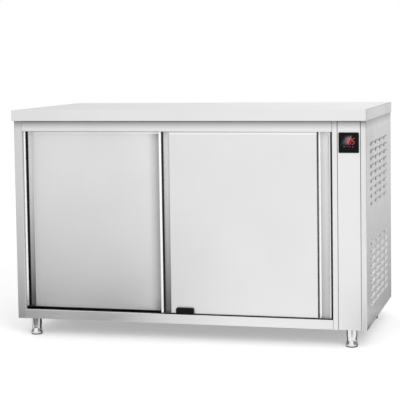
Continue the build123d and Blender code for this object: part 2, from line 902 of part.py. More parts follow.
ring_x = chamber_right - heater_wall_gap
with BuildPart() as heating_element:
    ring_plane = Plane((ring_x, fan_y, fan_height), x_dir=(0, 1, 0), z_dir=(1, 0, 0))
    half_gap_degrees = heater_gap_angle / 2
    ring_top = Vector(ring_x, fan_y, fan_height + heater_ring_radius)
    ring_end_y = heater_ring_radius * math.sin(heater_half_gap)
    ring_end_z = fan_height - heater_ring_radius * math.cos(heater_half_gap)
    bend_share = math.sin(math.radians(45))
    bend_mid_y = ring_end_y - heater_bend_radius * bend_share * math.cos(heater_half_gap)
    bend_mid_z = ring_end_z - heater_bend_radius * bend_share * math.sin(heater_half_gap)
    bend_mid_x = ring_x + heater_bend_radius * (1 - bend_share)
    bend_x = ring_x + heater_bend_radius
    lead_end = divider_right + heater_flange_thickness + heater_lead_length
    with BuildLine():
        Line(
            (lead_end, fan_y - heater_leg_y, heater_leg_z),
            (bend_x, fan_y - heater_leg_y, heater_leg_z),
        )
        ThreePointArc(
            (bend_x, fan_y - heater_leg_y, heater_leg_z),
            (bend_mid_x, fan_y - bend_mid_y, bend_mid_z),
            (ring_x, fan_y - ring_end_y, ring_end_z),
        )
        ThreePointArc(
            (ring_x, fan_y - ring_end_y, ring_end_z),
            ring_top,
            (ring_x, fan_y + ring_end_y, ring_end_z),
        )
        ThreePointArc(
            (ring_x, fan_y + ring_end_y, ring_end_z),
            (bend_mid_x, fan_y + bend_mid_y, bend_mid_z),
            (bend_x, fan_y + heater_leg_y, heater_leg_z),
        )
        Line(
            (bend_x, fan_y + heater_leg_y, heater_leg_z),
            (lead_end, fan_y + heater_leg_y, heater_leg_z),
        )
    with BuildSketch(Plane.YZ.offset(lead_end)):
        with Locations(heater_holes[0]):
            Circle(heater_tube_radius)
    sweep()
    with BuildSketch(Plane.YZ.offset(divider_right)):
        with Locations((fan_y, heater_leg_z)):
            RectangleRounded(heater_flange_width, heater_flange_height, fold_radius)
    extrude(amount=heater_flange_thickness)
    with BuildSketch(Plane.YZ.offset(lead_end)):
        with Locations(*heater_holes):
            Circle(heater_pin_radius)
    extrude(amount=heater_pin_length)
save(heating_element, "heating_element")

impeller_back = chamber_right - impeller_wall_gap
impeller_front = impeller_back - impeller_width
with BuildPart() as fan_impeller:
    with BuildSketch(Plane.YZ.offset(impeller_back - impeller_gauge)):
        with Locations((fan_y, fan_height)):
            Circle(impeller_radius)
    extrude(amount=impeller_gauge)
    with BuildSketch(Plane.YZ.offset(impeller_front)):
        with Locations((fan_y, fan_height)):
            Circle(impeller_radius)
            Circle(impeller_inlet_radius, mode=Mode.SUBTRACT)
    extrude(amount=impeller_gauge)
    blade_middle = impeller_radius - impeller_blade_length / 2
    with BuildSketch(Plane.YZ.offset(impeller_front)):
        with Locations((fan_y, fan_height)):
            with PolarLocations(blade_middle, impeller_blades):
                Rectangle(impeller_blade_length, impeller_gauge, rotation=impeller_blade_angle)
    extrude(amount=impeller_width)
    with BuildSketch(Plane.YZ.offset(impeller_back)):
        with Locations((fan_y, fan_height)):
            Circle(impeller_hub_radius)
    extrude(amount=-impeller_hub_length)
    with BuildSketch(Plane.YZ.offset(impeller_back - impeller_hub_length)):
        with Locations((fan_y, fan_height)):
            Circle(shaft_radius)
    extrude(amount=shaft_length)
save(fan_impeller, "fan_impeller")

with BuildPart() as fan_motor:
    with BuildSketch(Plane.YZ.offset(divider_right)):
        with Locations((fan_y, fan_height)):
            RectangleRounded(motor_plate_size, motor_plate_size, motor_edge_radius)
    extrude(amount=motor_plate_thickness)
    boss_start = divider_right + motor_plate_thickness
    with BuildSketch(Plane.YZ.offset(boss_start)):
        with Locations((fan_y, fan_height)):
            Circle(motor_boss_radius)
    extrude(amount=motor_boss_length)
    motor_start = boss_start + motor_boss_length
    with BuildSketch(Plane.YZ.offset(motor_start)):
        with Locations((fan_y, fan_height)):
            Circle(motor_radius)
            with PolarLocations(motor_radius, motor_fins):
                Rectangle(2 * motor_fin_depth, motor_fin_width, mode=Mode.SUBTRACT)
    extrude(amount=motor_length)
    with BuildSketch(Plane.YZ.offset(divider_right)):
        with Locations((fan_y, fan_height)):
            Circle(shaft_radius + shaft_running_clearance)
    extrude(amount=motor_bore_depth, mode=Mode.SUBTRACT)
save(fan_motor, "fan_motor")

with BuildPart() as safety_thermostat:
    thermostat_place = (fan_y, fan_height + thermostat_rise)
    with BuildSketch(Plane.YZ.offset(divider_right)):
        with Locations(thermostat_place):
            RectangleRounded(thermostat_plate, thermostat_radius * 2, fold_radius)
    extrude(amount=thermostat_plate_gauge)
    cap_start = divider_right + thermostat_plate_gauge
    with BuildSketch(Plane.YZ.offset(cap_start)):
        with Locations(thermostat_place):
            Circle(thermostat_radius)
    extrude(amount=thermostat_height)
    with BuildSketch(Plane.YZ.offset(cap_start + thermostat_height)):
        with Locations(thermostat_place):
            with GridLocations(2 * thermostat_tab_spread, 1, 2, 1):
                Rectangle(thermostat_tab_gauge, thermostat_tab_width)
    extrude(amount=thermostat_tab_length)
save(safety_thermostat, "safety_thermostat")

# ---------------------------------------------------------------------------
# Supply entry
# ---------------------------------------------------------------------------

with BuildPart() as terminal_block:
    block_front = terminal_block_y - terminal_block_length / 2
    block_left = terminal_block_x - terminal_block_depth / 2
    block_middle = base_top + terminal_step
    block_top = base_top + terminal_block_height
    block(
        (block_left, block_left + terminal_block_depth),
        (block_front, block_front + terminal_block_length),
        (base_top, block_middle),
    )
    block(
        (block_left + terminal_block_depth / 4, block_left + terminal_block_depth * 3 / 4),
        (block_front, block_front + terminal_block_length),
        (block_middle, block_top),
    )
    with BuildSketch(Plane.XY.offset(block_top)):
        with Locations((terminal_block_x, terminal_block_y)):
            with GridLocations(1, terminal_pitch, 1, terminal_poles):
                Circle(terminal_well_radius)
    extrude(amount=-terminal_well_depth, mode=Mode.SUBTRACT)
save(terminal_block, "terminal_block")

with BuildPart() as cable_gland:
    gland_under = base_top - panel_gauge
    with BuildSketch(Plane.XY.offset(gland_under)):
        with Locations((gland_x, gland_y)):
            RegularPolygon(gland_hex / 2, 6, major_radius=False)
    extrude(amount=-gland_hex_height)
    with BuildSketch(Plane.XY.offset(gland_under - gland_hex_height)):
        with Locations((gland_x, gland_y)):
            Circle(gland_dome_radius)
    extrude(amount=-gland_dome_height)
    fillet(cable_gland.faces().sort_by(Axis.Z)[0].edges(), radius=gland_dome_fillet)
    with BuildSketch(Plane.XY.offset(gland_under)):
        with Locations((gland_x, gland_y)):
            Circle(gland_thread_radius)
    extrude(amount=gland_thread_length)
    with BuildSketch(Plane.XY.offset(base_top)):
        with Locations((gland_x, gland_y)):
            RegularPolygon(gland_hex / 2, 6, major_radius=False)
    extrude(amount=gland_nut_height)
    with BuildSketch(Plane.XY.offset(gland_under + gland_thread_length)):
        with Locations((gland_x, gland_y)):
            Circle(gland_bore_radius)
    extrude(
        amount=-gland_thread_length - gland_hex_height - gland_dome_height,
        mode=Mode.SUBTRACT,
    )
save(cable_gland, "cable_gland")

# ---------------------------------------------------------------------------
# Legs and levelling feet
# ---------------------------------------------------------------------------

with BuildPart() as leg_bolts:
    for leg_x, leg_y in leg_places.values():
        with BuildSketch(Plane.XY.offset(leg_plate_bottom)):
            with Locations((leg_x, leg_y + leg_plate_shift)):
                with GridLocations(leg_bolt_spacing_x, leg_bolt_spacing_y, 2, 2):
                    RegularPolygon(bolt_head_flats / 2, 6, major_radius=False)
        extrude(amount=-bolt_head_height)
        with BuildSketch(Plane.XY.offset(leg_plate_bottom)):
            with Locations((leg_x, leg_y + leg_plate_shift)):
                with GridLocations(leg_bolt_spacing_x, leg_bolt_spacing_y, 2, 2):
                    Circle(bolt_radius)
        extrude(amount=base_top + nut_height + bolt_end_allowance - leg_plate_bottom)
save(leg_bolts, "leg_bolts")

with BuildPart() as leg_inserts:
    with BuildSketch(Plane.XY.offset(foot_height)):
        with Locations(*leg_places.values()):
            Circle(leg_tube_radius - leg_tube_wall - insert_clearance)
            Circle(foot_stud_radius + foot_running_clearance, mode=Mode.SUBTRACT)
    extrude(amount=leg_plate_bottom - insert_end_gap - foot_height)
save(leg_inserts, "leg_inserts")

for place_name, (leg_x, leg_y) in leg_places.items():
    with BuildPart() as leg:
        with BuildSketch(Plane.XY.offset(leg_plate_bottom)):
            with Locations((leg_x, leg_y + leg_plate_shift)):
                RectangleRounded(leg_plate_width, leg_plate_depth, fold_radius)
                with GridLocations(leg_bolt_spacing_x, leg_bolt_spacing_y, 2, 2):
                    Circle(bolt_radius + bolt_clearance, mode=Mode.SUBTRACT)
        extrude(amount=leg_plate_thickness)
        with BuildSketch(Plane.XY.offset(foot_height)):
            with Locations((leg_x, leg_y)):
                Circle(leg_tube_radius)
                Circle(leg_tube_radius - leg_tube_wall, mode=Mode.SUBTRACT)
        extrude(amount=leg_plate_bottom - foot_height)
    save(leg, f"leg_{place_name}")

    with BuildPart() as foot:
        foot_top = foot_height - foot_gap
        neck_bottom = foot_top - foot_neck_height
        skirt_top = foot_pad_height + foot_skirt_height
        stud_top = leg_plate_bottom - foot_stud_end_gap
        with BuildSketch(Plane.XZ):
            with BuildLine():
                Polyline(
                    (0, foot_pad_height),
                    (foot_base_radius, foot_pad_height),
                    (foot_base_radius, skirt_top),
                )
                ThreePointArc(
                    (foot_base_radius, skirt_top),
                    (foot_waist_radius, foot_waist_height),
                    (foot_neck_radius, neck_bottom),
                )
                Polyline(
                    (foot_neck_radius, neck_bottom),
                    (foot_neck_radius, foot_top),
                    (foot_stud_radius, foot_top),
                    (foot_stud_radius, stud_top),
                    (0, stud_top),
                    (0, foot_pad_height),
                )
            make_face()
        revolve(axis=Axis.Z)
    foot.part.position = (leg_x, leg_y, 0)
    save(foot, f"foot_{place_name}")

    with BuildPart() as pad:
        with BuildSketch():
            with Locations((leg_x, leg_y)):
                Circle(foot_base_radius - foot_pad_inset)
        extrude(amount=foot_pad_height)
        fillet(pad.faces().sort_by(Axis.Z)[0].edges(), radius=foot_pad_round)
    save(pad, f"foot_pad_{place_name}")

# ---------------------------------------------------------------------------
# Shelf
# ---------------------------------------------------------------------------

with BuildPart() as shelf:
    shelf_left = opening_left + shelf_end_clearance
    shelf_right = air_guide_left - shelf_end_clearance
    shelf_front = chamber_front + shelf_setback
    shelf_back = chamber_back - shelf_back_gap
    shelf_middle = (shelf_left + shelf_right) / 2
    block(
        (shelf_left, shelf_right),
        (shelf_front, shelf_back),
        (shelf_height - shelf_fold, shelf_height),
    )
    fillet(shelf.edges().filter_by(Axis.Z), radius=fold_radius)
    fillet(shelf.faces().sort_by(Axis.Z)[-1].edges(), radius=fold_radius * 0.9)
    offset(amount=-shelf_gauge, openings=shelf.faces().sort_by(Axis.Z)[0])
    rib_top = shelf_height - shelf_gauge
    rib_bottom = rib_top - shelf_rib_depth
    for rib_shift in (-shelf_rib_pitch / 2, shelf_rib_pitch / 2):
        rib_left = shelf_middle + rib_shift - shelf_rib_width / 2
        rib_right = rib_left + shelf_rib_width
        with BuildSketch(Plane.XZ.offset(-shelf_front - shelf_gauge)):
            rib_line = [
                (rib_left, rib_top),
                (rib_left, rib_bottom),
                (rib_right, rib_bottom),
                (rib_right, rib_top),
            ]
            fold(rib_line, fold_radius, shelf_gauge, Side.LEFT)
        extrude(amount=-(shelf_back - shelf_front - 2 * shelf_gauge))
save(shelf, "shelf")

# ---------------------------------------------------------------------------
# Doors
# ---------------------------------------------------------------------------

for door_name, door_left, door_front in (
    ("left_door", left_door_left, left_front),
    ("right_door", right_door_left, right_front),
):
    door_right = door_left + door_width
    door_back = door_front + door_thickness
    skin_back = door_back - door_skin_gauge
    recess_back = door_front + grip_depth
    left_mouth = door_left + grip_lip
    left_mouth_end = left_mouth + grip_mouth
    right_mouth_end = door_right - right_grip_lip
    right_mouth = right_mouth_end - right_grip_mouth
    skin_line = [
        (door_left, skin_back),
        (door_left, door_front),
        (left_mouth, door_front),
        (left_mouth, recess_back),
        (left_mouth_end, recess_back),
        (left_mouth_end, door_front),
        (right_mouth, door_front),
        (right_mouth, recess_back),
        (right_mouth_end, recess_back),
        (right_mouth_end, door_front),
        (door_right, door_front),
        (door_right, skin_back),
    ]

    with BuildPart() as door_skin:
        for end_level in (door_bottom, door_top - door_skin_gauge):
            with BuildSketch(Plane.XY.offset(end_level)):
                with BuildLine():
                    end_line = FilletPolyline(
                        (door_left, skin_back),
                        (door_left, door_front),
                        (door_right, door_front),
                        (door_right, skin_back),
                        radius=fold_radius,
                    )
                    Line(end_line @ 1, end_line @ 0)
                make_face()
            extrude(amount=door_skin_gauge)
        with BuildSketch(Plane.XY.offset(door_bottom + door_skin_gauge)):
            fold(skin_line, fold_radius, door_skin_gauge, Side.LEFT)
        extrude(amount=door_height - 2 * door_skin_gauge)
    save(door_skin, f"{door_name}_skin")

    with BuildPart() as door_inner:
        block((door_left, door_right), (skin_back, door_back), (door_bottom, door_top))
    save(door_inner, f"{door_name}_inner")

    with BuildPart() as door_core:
        with BuildSketch(Plane.XY.offset(door_bottom + door_skin_gauge)):
            with BuildLine(mode=Mode.PRIVATE) as core_edge:
                FilletPolyline(*skin_line, radius=fold_radius)
                offset(amount=door_skin_gauge, side=Side.LEFT, closed=False, mode=Mode.REPLACE)
                Line(core_edge.line @ 1, core_edge.line @ 0)
            make_face(core_edge.edges())
        extrude(amount=door_height - 2 * door_skin_gauge)
    save(door_core, f"{door_name}_core")

    with BuildPart() as hangers:
        foot_front = door_front + hanger_foot_setback
        plate_back = foot_front + hanger_foot_depth
        roller_front = plate_back + axle_shoulder + roller_running_gap
        head_front = roller_front + roller_width + roller_running_gap
        for hanger_x in (door_left + hanger_inset, door_right - hanger_inset):
            block(
                (hanger_x - hanger_foot_length / 2, hanger_x + hanger_foot_length / 2),
                (foot_front, plate_back),
                (door_top, door_top + hanger_gauge),
            )
            with BuildSketch(Plane.XZ.offset(-plate_back)):
                with Locations((hanger_x, door_top + hanger_plate_height / 2)):
                    plate_shape = Rectangle(hanger_plate_length, hanger_plate_height)
                fillet(plate_shape.vertices().group_by(Axis.Y)[-1], radius=hanger_corner_radius)
            extrude(amount=hanger_gauge)
            with BuildSketch(Plane.XZ.offset(-plate_back)):
                with Locations((hanger_x, roller_axis)):
                    Circle(axle_head_radius)
            extrude(amount=-axle_shoulder)
            with BuildSketch(Plane.XZ.offset(-plate_back)):
                with Locations((hanger_x, roller_axis)):
                    Circle(axle_radius)
            extrude(amount=-(head_front - plate_back))
            with BuildSketch(Plane.XZ.offset(-head_front)):
                with Locations((hanger_x, roller_axis)):
                    Circle(axle_head_radius)
            extrude(amount=-axle_head_length)
    save(hangers, f"{door_name}_hangers")

    for roller_side, roller_x in (
        ("left", door_left + hanger_inset),
        ("right", door_right - hanger_inset),
    ):
        with BuildPart() as roller:
            with BuildSketch(Plane.XZ.offset(-roller_front)):
                with Locations((roller_x, roller_axis)):
                    Circle(roller_radius)
                    Circle(axle_radius + roller_bore_clearance, mode=Mode.SUBTRACT)
            extrude(amount=-roller_width)
            rims = roller.edges().filter_by(GeomType.CIRCLE).sort_by(SortBy.RADIUS)[-2:]
            chamfer(rims, length=roller_chamfer)
        save(roller, f"{door_name}_{roller_side}_roller")
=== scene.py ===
from math import cos, pi, radians, sin, tan

import bmesh
import bpy
from bpy.props import (FloatProperty, FloatVectorProperty, IntProperty, PointerProperty,
                       StringProperty)
from bpy.types import NodeSocket, Operator, Panel, PropertyGroup
from mathutils import Matrix, Vector


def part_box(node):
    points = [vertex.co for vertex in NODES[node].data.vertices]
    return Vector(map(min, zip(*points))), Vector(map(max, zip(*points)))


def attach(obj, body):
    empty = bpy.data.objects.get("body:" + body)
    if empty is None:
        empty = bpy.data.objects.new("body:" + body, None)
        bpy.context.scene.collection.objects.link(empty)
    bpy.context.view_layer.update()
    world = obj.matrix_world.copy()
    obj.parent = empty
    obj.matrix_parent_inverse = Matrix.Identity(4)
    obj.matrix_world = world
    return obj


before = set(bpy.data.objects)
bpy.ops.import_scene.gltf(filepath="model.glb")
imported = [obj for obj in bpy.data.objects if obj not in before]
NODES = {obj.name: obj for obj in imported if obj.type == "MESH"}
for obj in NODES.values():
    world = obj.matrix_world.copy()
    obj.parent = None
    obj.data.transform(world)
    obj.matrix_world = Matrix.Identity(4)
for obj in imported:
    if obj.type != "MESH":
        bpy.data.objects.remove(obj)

bl_info = {
    "name": "Plate Warmer Cabinet",
    "version": (1, 0, 0),
    "blender": (4, 5, 0),
    "location": "View3D > Sidebar > Cabinet",
    "description": "Finishes, small fittings and studio of a plate warmer cabinet",
    "category": "Object",
}

MM = 0.001


# ---- Sizes and colours that a user would change ----


def colour_setting(name, description, default):
    return FloatVectorProperty(name=name, description=description, default=default,
                               subtype="COLOR", size=3, min=0.0, max=1.0)


def length_setting(name, description, default, low, high):
    return FloatProperty(name=name, description=description, default=default,
                         subtype="DISTANCE", unit="LENGTH", min=low, max=high)


def level_setting(name, description, default, low=0.0, high=1.0):
    return FloatProperty(name=name, description=description, default=default,
                         min=low, max=high)


class SteelSettings(PropertyGroup):
    panel_colour: colour_setting(
        "Panel steel", "Colour of the brushed outer panels and doors", (0.87, 0.87, 0.872))
    top_colour: colour_setting(
        "Worktop steel", "Colour of the brushed worktop", (0.88, 0.88, 0.88))
    liner_colour: colour_setting(
        "Lining steel", "Colour of the duller sheet inside the warm chamber",
        (0.66, 0.66, 0.66))
    chrome_colour: colour_setting(
        "Chrome", "Colour of the polished legs and feet", (0.86, 0.86, 0.87))
    roughness: level_setting(
        "Panel roughness", "How dull the brushed panels are", 0.34, low=0.05)
    grain: length_setting(
        "Grain width", "Spacing of the brush marks", 0.0009, 0.0001, 0.01)
    # along this width the lip is painted white as a highlight
    lip_width: length_setting(
        "Lip width", "Width of the polished lip along each door grip", 0.0095, 0.0, 0.05)
    grip_width: length_setting(
        "Grip width", "Width of the hollow grip along each door, its lip included",
        0.0385, 0.0, 0.2)
    right_grip_width: length_setting(
        "Right grip width",
        "Width of the hollow grip at the right of each door, its lip included",
        0.049, 0.0, 0.2)
    edge_radius: length_setting(
        "Edge softness", "Radius of the highlight along folded edges", 0.0012, 0.0, 0.01)


class DisplaySettings(PropertyGroup):
    figures: StringProperty(
        name="Figures", description="Figures lit on the display", default="705")
    figure_height: length_setting(
        "Figure height", "Height of one lit figure", 0.022, 0.005, 0.05)
    figure_slant: FloatProperty(
        name="Slant", description="How far the figures lean to the right",
        subtype="ANGLE", unit="ROTATION", min=0.0, max=0.6, default=radians(14))
    figure_colour: colour_setting(
        "Figure colour", "Colour of the lit figures", (0.45, 0.03, 0.027))
    key_size: length_setting(
        "Key mark size", "Width of one touch-key mark", 0.0042, 0.001, 0.01)


class FixingSettings(PropertyGroup):
    rivet_radius: length_setting(
        "Rivet radius", "Radius of the domed rivet heads on the back panel",
        0.0034, 0.001, 0.01)
    rivet_rise: length_setting(
        "Rivet rise", "How far a rivet head stands out of its panel", 0.0008, 0.0002, 0.003)
    rivet_columns: IntProperty(
        name="Rivets along the back", description="Rivets in each row along the back panel",
        min=2, max=30, default=9)
    screw_radius: length_setting(
        "Screw head radius", "Radius of the cross-recessed screw heads",
        0.0035, 0.001, 0.01)
    screw_rise: length_setting(
        "Screw head rise", "Height of the cross-recessed screw heads",
        0.0022, 0.0002, 0.005)


class StudioSettings(PropertyGroup):
    floor_colour: colour_setting(
        "Floor", "Colour of the floor and of the background", (0.80, 0.80, 0.80))
    key_power: FloatProperty(
        name="Key light", description="Strength of the soft light at the front right",
        subtype="POWER", unit="POWER", min=0.0, max=5000.0, default=120.0)
    sky_strength: level_setting(
        "Surrounding light", "Strength of the light from all round", 0.8, high=5.0)
    floor_lift: level_setting(
        "Floor lift", "Light added to the floor so that it looks white", 0.36, high=2.0)
    left_dimming: level_setting(
        "Left dimming", "How dark the metal mirrors the floor at the left", 0.75)
    back_dimming: level_setting(
        "Back dimming", "How dark the metal mirrors the upper background", 0.8)


# ---- Material helpers ----


class Tree:
    """A node tree with a short way to add nodes to it."""

    def __init__(self, tree):
        self.tree = tree

    def node(self, kind, inputs=(), **settings):
        """Adds a node with its settings, and feeds its inputs, given by name or number."""
        made = self.tree.nodes.new(kind)
        for key, value in settings.items():
            setattr(made, key, value)
        for key, value in dict(inputs).items():
            self.feed(made.inputs[key], value)
        return made

    def feed(self, socket, value):
        """Sets a socket to a value, or links it to another socket."""
        if isinstance(value, NodeSocket):
            self.tree.links.new(value, socket)
        else:
            socket.default_value = value


class Graph(Tree):
    """A shader node tree on an object's own coordinates."""

    def __init__(self, tree):
        super().__init__(tree)
        self.coordinates = self.node("ShaderNodeTexCoord").outputs["Object"]

    def arithmetic(self, operation, result, *others):
        """Joins two or more values, each a number or a socket, one after the other."""
        for other in others:
            maths = self.node("ShaderNodeMath", {0: result, 1: other}, operation=operation)
            result = maths.outputs[0]
        return result

    def times(self, *values):
        return self.arithmetic("MULTIPLY", *values)

    def plus(self, *values):
        return self.arithmetic("ADD", *values)

    def minus(self, first, second):
        return self.arithmetic("SUBTRACT", first, second)

    def spread(self, value, low, high, start=0.3, end=0.7, how="LINEAR"):
        """Goes from low to high while the value goes from start to end."""
        return self.node(
            "ShaderNodeMapRange",
            {"Value": value, "From Min": start, "From Max": end, "To Min": low, "To Max": high},
            interpolation_type=how,
        ).outputs["Result"]

    def ease(self, *limits):
        """The same, starting and ending gently."""
        return self.spread(*limits, how="SMOOTHSTEP")

    def around(self, value, centre, share, full, none):
        """A share near a centre, fading out from one distance from it to another."""
        away = self.arithmetic("ABSOLUTE", self.minus(value, centre), 0.0)
        return self.spread(away, share, 0.0, full, none)

    def axes(self):
        """The three coordinates by themselves."""
        return tuple(self.node("ShaderNodeSeparateXYZ", {0: self.coordinates}).outputs)


class Finish(Graph):
    """A material whose surface is one Principled shader."""

    def __init__(self, name, colour, metallic=0.0, roughness=0.5):
        self.material = bpy.data.materials.new(name)
        self.material.use_nodes = True
        super().__init__(self.material.node_tree)
        self.shader = self.tree.nodes["Principled BSDF"]
        self.colour = tuple(colour)
        self.material.diffuse_color = (*colour, 1.0)
        self.paint("Base Color", (*colour, 1.0))
        self.paint("Metallic", metallic)
        self.paint("Roughness", roughness)

    def paint(self, name, value):
        """Feeds an input of the surface's shader."""
        self.feed(self.shader.inputs[name], value)

    def noise(self, scale, detail=2.0, stretch=(1.0, 1.0, 1.0), rough=0.5):
        """Noise on the object's own coordinates, stretched along the axes."""
        mapping = self.node("ShaderNodeMapping", {"Scale": stretch, "Vector": self.coordinates})
        return self.node(
            "ShaderNodeTexNoise",
            {"Vector": mapping.outputs[0], "Scale": scale, "Detail": detail, "Roughness": rough},
        ).outputs["Fac"]

    def cells(self, scale, output):
        """A pattern of cells: their random colours, or the distance from their middles."""
        cells = self.node("ShaderNodeTexVoronoi", {"Scale": scale, "Vector": self.coordinates})
        return cells.outputs[output]

    def mix(self, factor, first, second):
        """Mixes two colours, each a value or a socket."""
        first, second = (colour if isinstance(colour, NodeSocket) else (*colour, 1.0)
                         for colour in (first, second))
        inputs = {0: factor, 6: first, 7: second}
        return self.node("ShaderNodeMix", inputs, data_type="RGBA").outputs[2]

    def tones(self, value, first, second, share=1.0):
        """Goes from one tone of the finish's colour to a share of another with a noise."""
        return self.mix(self.spread(value, 0.0, share),
                        scaled(self.colour, first), scaled(self.colour, second))

    def painted_crease_shade(self, reach, floor, deep=0.1, open_sky=0.85):
        """Painted shade: 1 in the open, falling to the floor value in gaps and corners."""
        shade = self.node("ShaderNodeAmbientOcclusion", {"Distance": reach}, samples=8)
        return self.spread(shade.outputs["AO"], floor, 1.0, deep, open_sky)

    def strips(self, places, axis="X"):
        """1 inside strips given as low and high on an axis and deepest Y, and 0 elsewhere."""
        places_on = dict(zip("XYZ", self.axes()))
        share = 0.0
        for low, high, deepest in places:
            inside = self.times(
                self.arithmetic("GREATER_THAN", places_on[axis], low),
                self.arithmetic("LESS_THAN", places_on[axis], high),
                self.arithmetic("LESS_THAN", places_on["Y"], deepest),
            )
            share = self.plus(share, inside)
        return share

    def tinted(self, colour, value):
        """A colour made darker by a value."""
        inputs = {0: colour, "Scale": value}
        return self.node("ShaderNodeVectorMath", inputs, operation="SCALE").outputs[0]

    def bevel(self, radius):
        """The way the surface faces, with its edges rounded."""
        return self.node("ShaderNodeBevel", {"Radius": radius}, samples=4).outputs[0]

    def bump(self, height, strength, distance, edge_radius=0.0, rolls=()):
        """Raises the surface by a value, over softened edges and over places that roll away
        to the right, each from one X to another with how far it falls."""
        bump = self.node("ShaderNodeBump",
                         {"Strength": strength, "Distance": distance, "Height": height})
        self.paint("Normal", bump.outputs[0])
        below = bump
        if rolls:
            across, _, _ = self.axes()
            falls = self.plus(0.0, *(self.spread(across, fall, 0.0, start, end)
                                     for start, end, fall in rolls))
            below = self.node("ShaderNodeBump",
                              {"Strength": 1.0, "Distance": 1.0, "Height": falls})
            self.feed(bump.inputs["Normal"], below.outputs[0])
        if edge_radius:
            self.feed(below.inputs["Normal"], self.bevel(edge_radius))

    def edges(self, radius):
        """1 along edges and 0 on flat faces."""
        flat = self.node("ShaderNodeNewGeometry").outputs["Normal"]
        dot = self.node("ShaderNodeVectorMath", {0: self.bevel(radius), 1: flat},
                        operation="DOT_PRODUCT")
        return self.spread(dot.outputs["Value"], 1.0, 0.0, 0.72, 0.99)


def scaled(colour, factor):
    return tuple(min(1.0, channel * factor) for channel in colour)


# ---- Materials ----

# white of the painted highlights
HIGHLIGHT_WHITE = (1.0, 1.0, 1.0)
GRAIN_STRETCH = 0.006  # the grain's noise is this much drawn out along the brush marks
SEAM_REACH = 45 * MM  # how far the painted shade of a seam or corner reaches
LIP_REACH = 65 * MM  # how far the painted shade of what stands in front of a sheet reaches


def brushed(name, colour, roughness, grain, edge_radius, along="Z", crease_shade=0.02,
            roundness=1.0, lip_highlights=(), fold_shadows=(), shaded_grips=(), matt=0.6, crest_highlights=(), shade_below_lip=None,
            painted_contact_shade_x=None, rolls=(), wear_and_sheen=None):
    """Brushed sheet: fine marks along one axis, faint smears, lighter worn edges and painted
    shade in creases and gaps.

    lip_highlights: upright strips painted white as highlights, each (low X, high X, deepest Y)
    fold_shadows: upright strips painted dark as shade, given in the same way
    crest_highlights: level strips painted white as highlights, each (low Z, high Z, deepest Y)
    shaded_grips: dull hollows, each a strip, its tones at the left and the right, and the two
        heights between which painted shade makes it darker downwards, with the share by which
        it does
    matt: how metallic the lip highlights, shaded grips and sheen places still look
    shade_below_lip: the height of a lip above, and how far down the painted shade under it
        reaches
    painted_contact_shade_x: the X right of which the sheet has painted shade close to what
        stands in front of it
    rolls: strips that roll away to the right, each (low X, high X, how far it falls)
    wear_and_sheen: the X beyond which the sheet is painted bright as a highlight, and the two
        heights between which that fades out upwards
    """
    finish = Finish(name, colour, metallic=1.0, roughness=roughness)
    mix, plus, spread, times = finish.mix, finish.plus, finish.spread, finish.times
    across, _, level = finish.axes()
    stretch = [1.0, 1.0, 1.0]
    stretch["XYZ".index(along)] = GRAIN_STRETCH
    marks = finish.noise(1.0 / grain, detail=3.0, stretch=stretch)
    broad = finish.noise(0.25 / grain, detail=1.0, stretch=stretch)
    smears = finish.noise(5.0, detail=3.0)
    smeared = mix(spread(smears, 0.0, 0.35), finish.tones(marks, 0.97, 1.02),
                  scaled(colour, 0.95))
    worn = mix(times(finish.edges(edge_radius), 0.4), smeared, scaled(colour, 1.14))
    # painted shade: darker in creases, gaps and corners
    shade = finish.painted_crease_shade(SEAM_REACH, crease_shade)
    # painted contact shade close to what stands in front of the sheet
    if painted_contact_shade_x:
        far = finish.ease(across, 1.0, 0.0, painted_contact_shade_x - 40 * MM, painted_contact_shade_x + 40 * MM)
        near = finish.painted_crease_shade(LIP_REACH, crease_shade, deep=0.66, open_sky=0.98)
        shade = finish.arithmetic("MINIMUM", shade, finish.arithmetic("MAXIMUM", near, far))
    shown = finish.tinted(worn, shade)
    # painted shade under the lip above, strongest at its height and fading downwards
    if shade_below_lip:
        height, reach = shade_below_lip
        shown = finish.tinted(shown, spread(level, 1.0, 0.4, height - reach, height))
    # painted highlight: bright beyond an X, fading out upwards
    if wear_and_sheen:
        proud, full, none = wear_and_sheen
        matt_places = times(finish.arithmetic("GREATER_THAN", across, proud),
                        spread(level, 1.0, 0.0, full, none))
        shown = mix(matt_places, shown, scaled(HIGHLIGHT_WHITE, 0.95))
    # painted shade in the hollow grips: toned across each one and darker downwards
    if shaded_grips:
        matt_places = finish.strips(lip_highlights)
        for strip, (first, last), (top, bottom, share) in shaded_grips:
            start, end, _ = strip
            inside = finish.strips((strip,))
            depth = finish.arithmetic("POWER", spread(level, 0.0, 1.0, top, bottom), 1.5)
            tone = times(spread(across, first, last, start, end),
                         finish.minus(1.0, times(depth, share)))
            shown = mix(inside, shown, finish.tinted(smeared, tone))
            matt_places = plus(matt_places, inside)
    if wear_and_sheen or shaded_grips:
        finish.paint("Metallic", spread(matt_places, 1.0, matt, 0.0, 1.0))
    # painted shade in the dark fold strips, painted highlights in the white lip and crest strips
    for places, tone, axis in ((fold_shadows, scaled(colour, 0.08), "X"), (lip_highlights, HIGHLIGHT_WHITE, "X"),
                               (crest_highlights, HIGHLIGHT_WHITE, "Z")):
        if places:
            shown = mix(finish.strips(places, axis), shown, tone)
    finish.paint("Base Color", shown)
    rough = plus(spread(marks, roughness - 0.05, roughness + 0.06),
                 spread(smears, -0.025, 0.035))
    if lip_highlights:
        rough = finish.minus(rough, times(finish.strips(lip_highlights), 0.18))
    finish.paint("Roughness", rough)
    finish.bump(plus(marks, times(broad, 0.6)), 0.05, 0.1 * MM, roundness * edge_radius,
                rolls)
    return finish.material


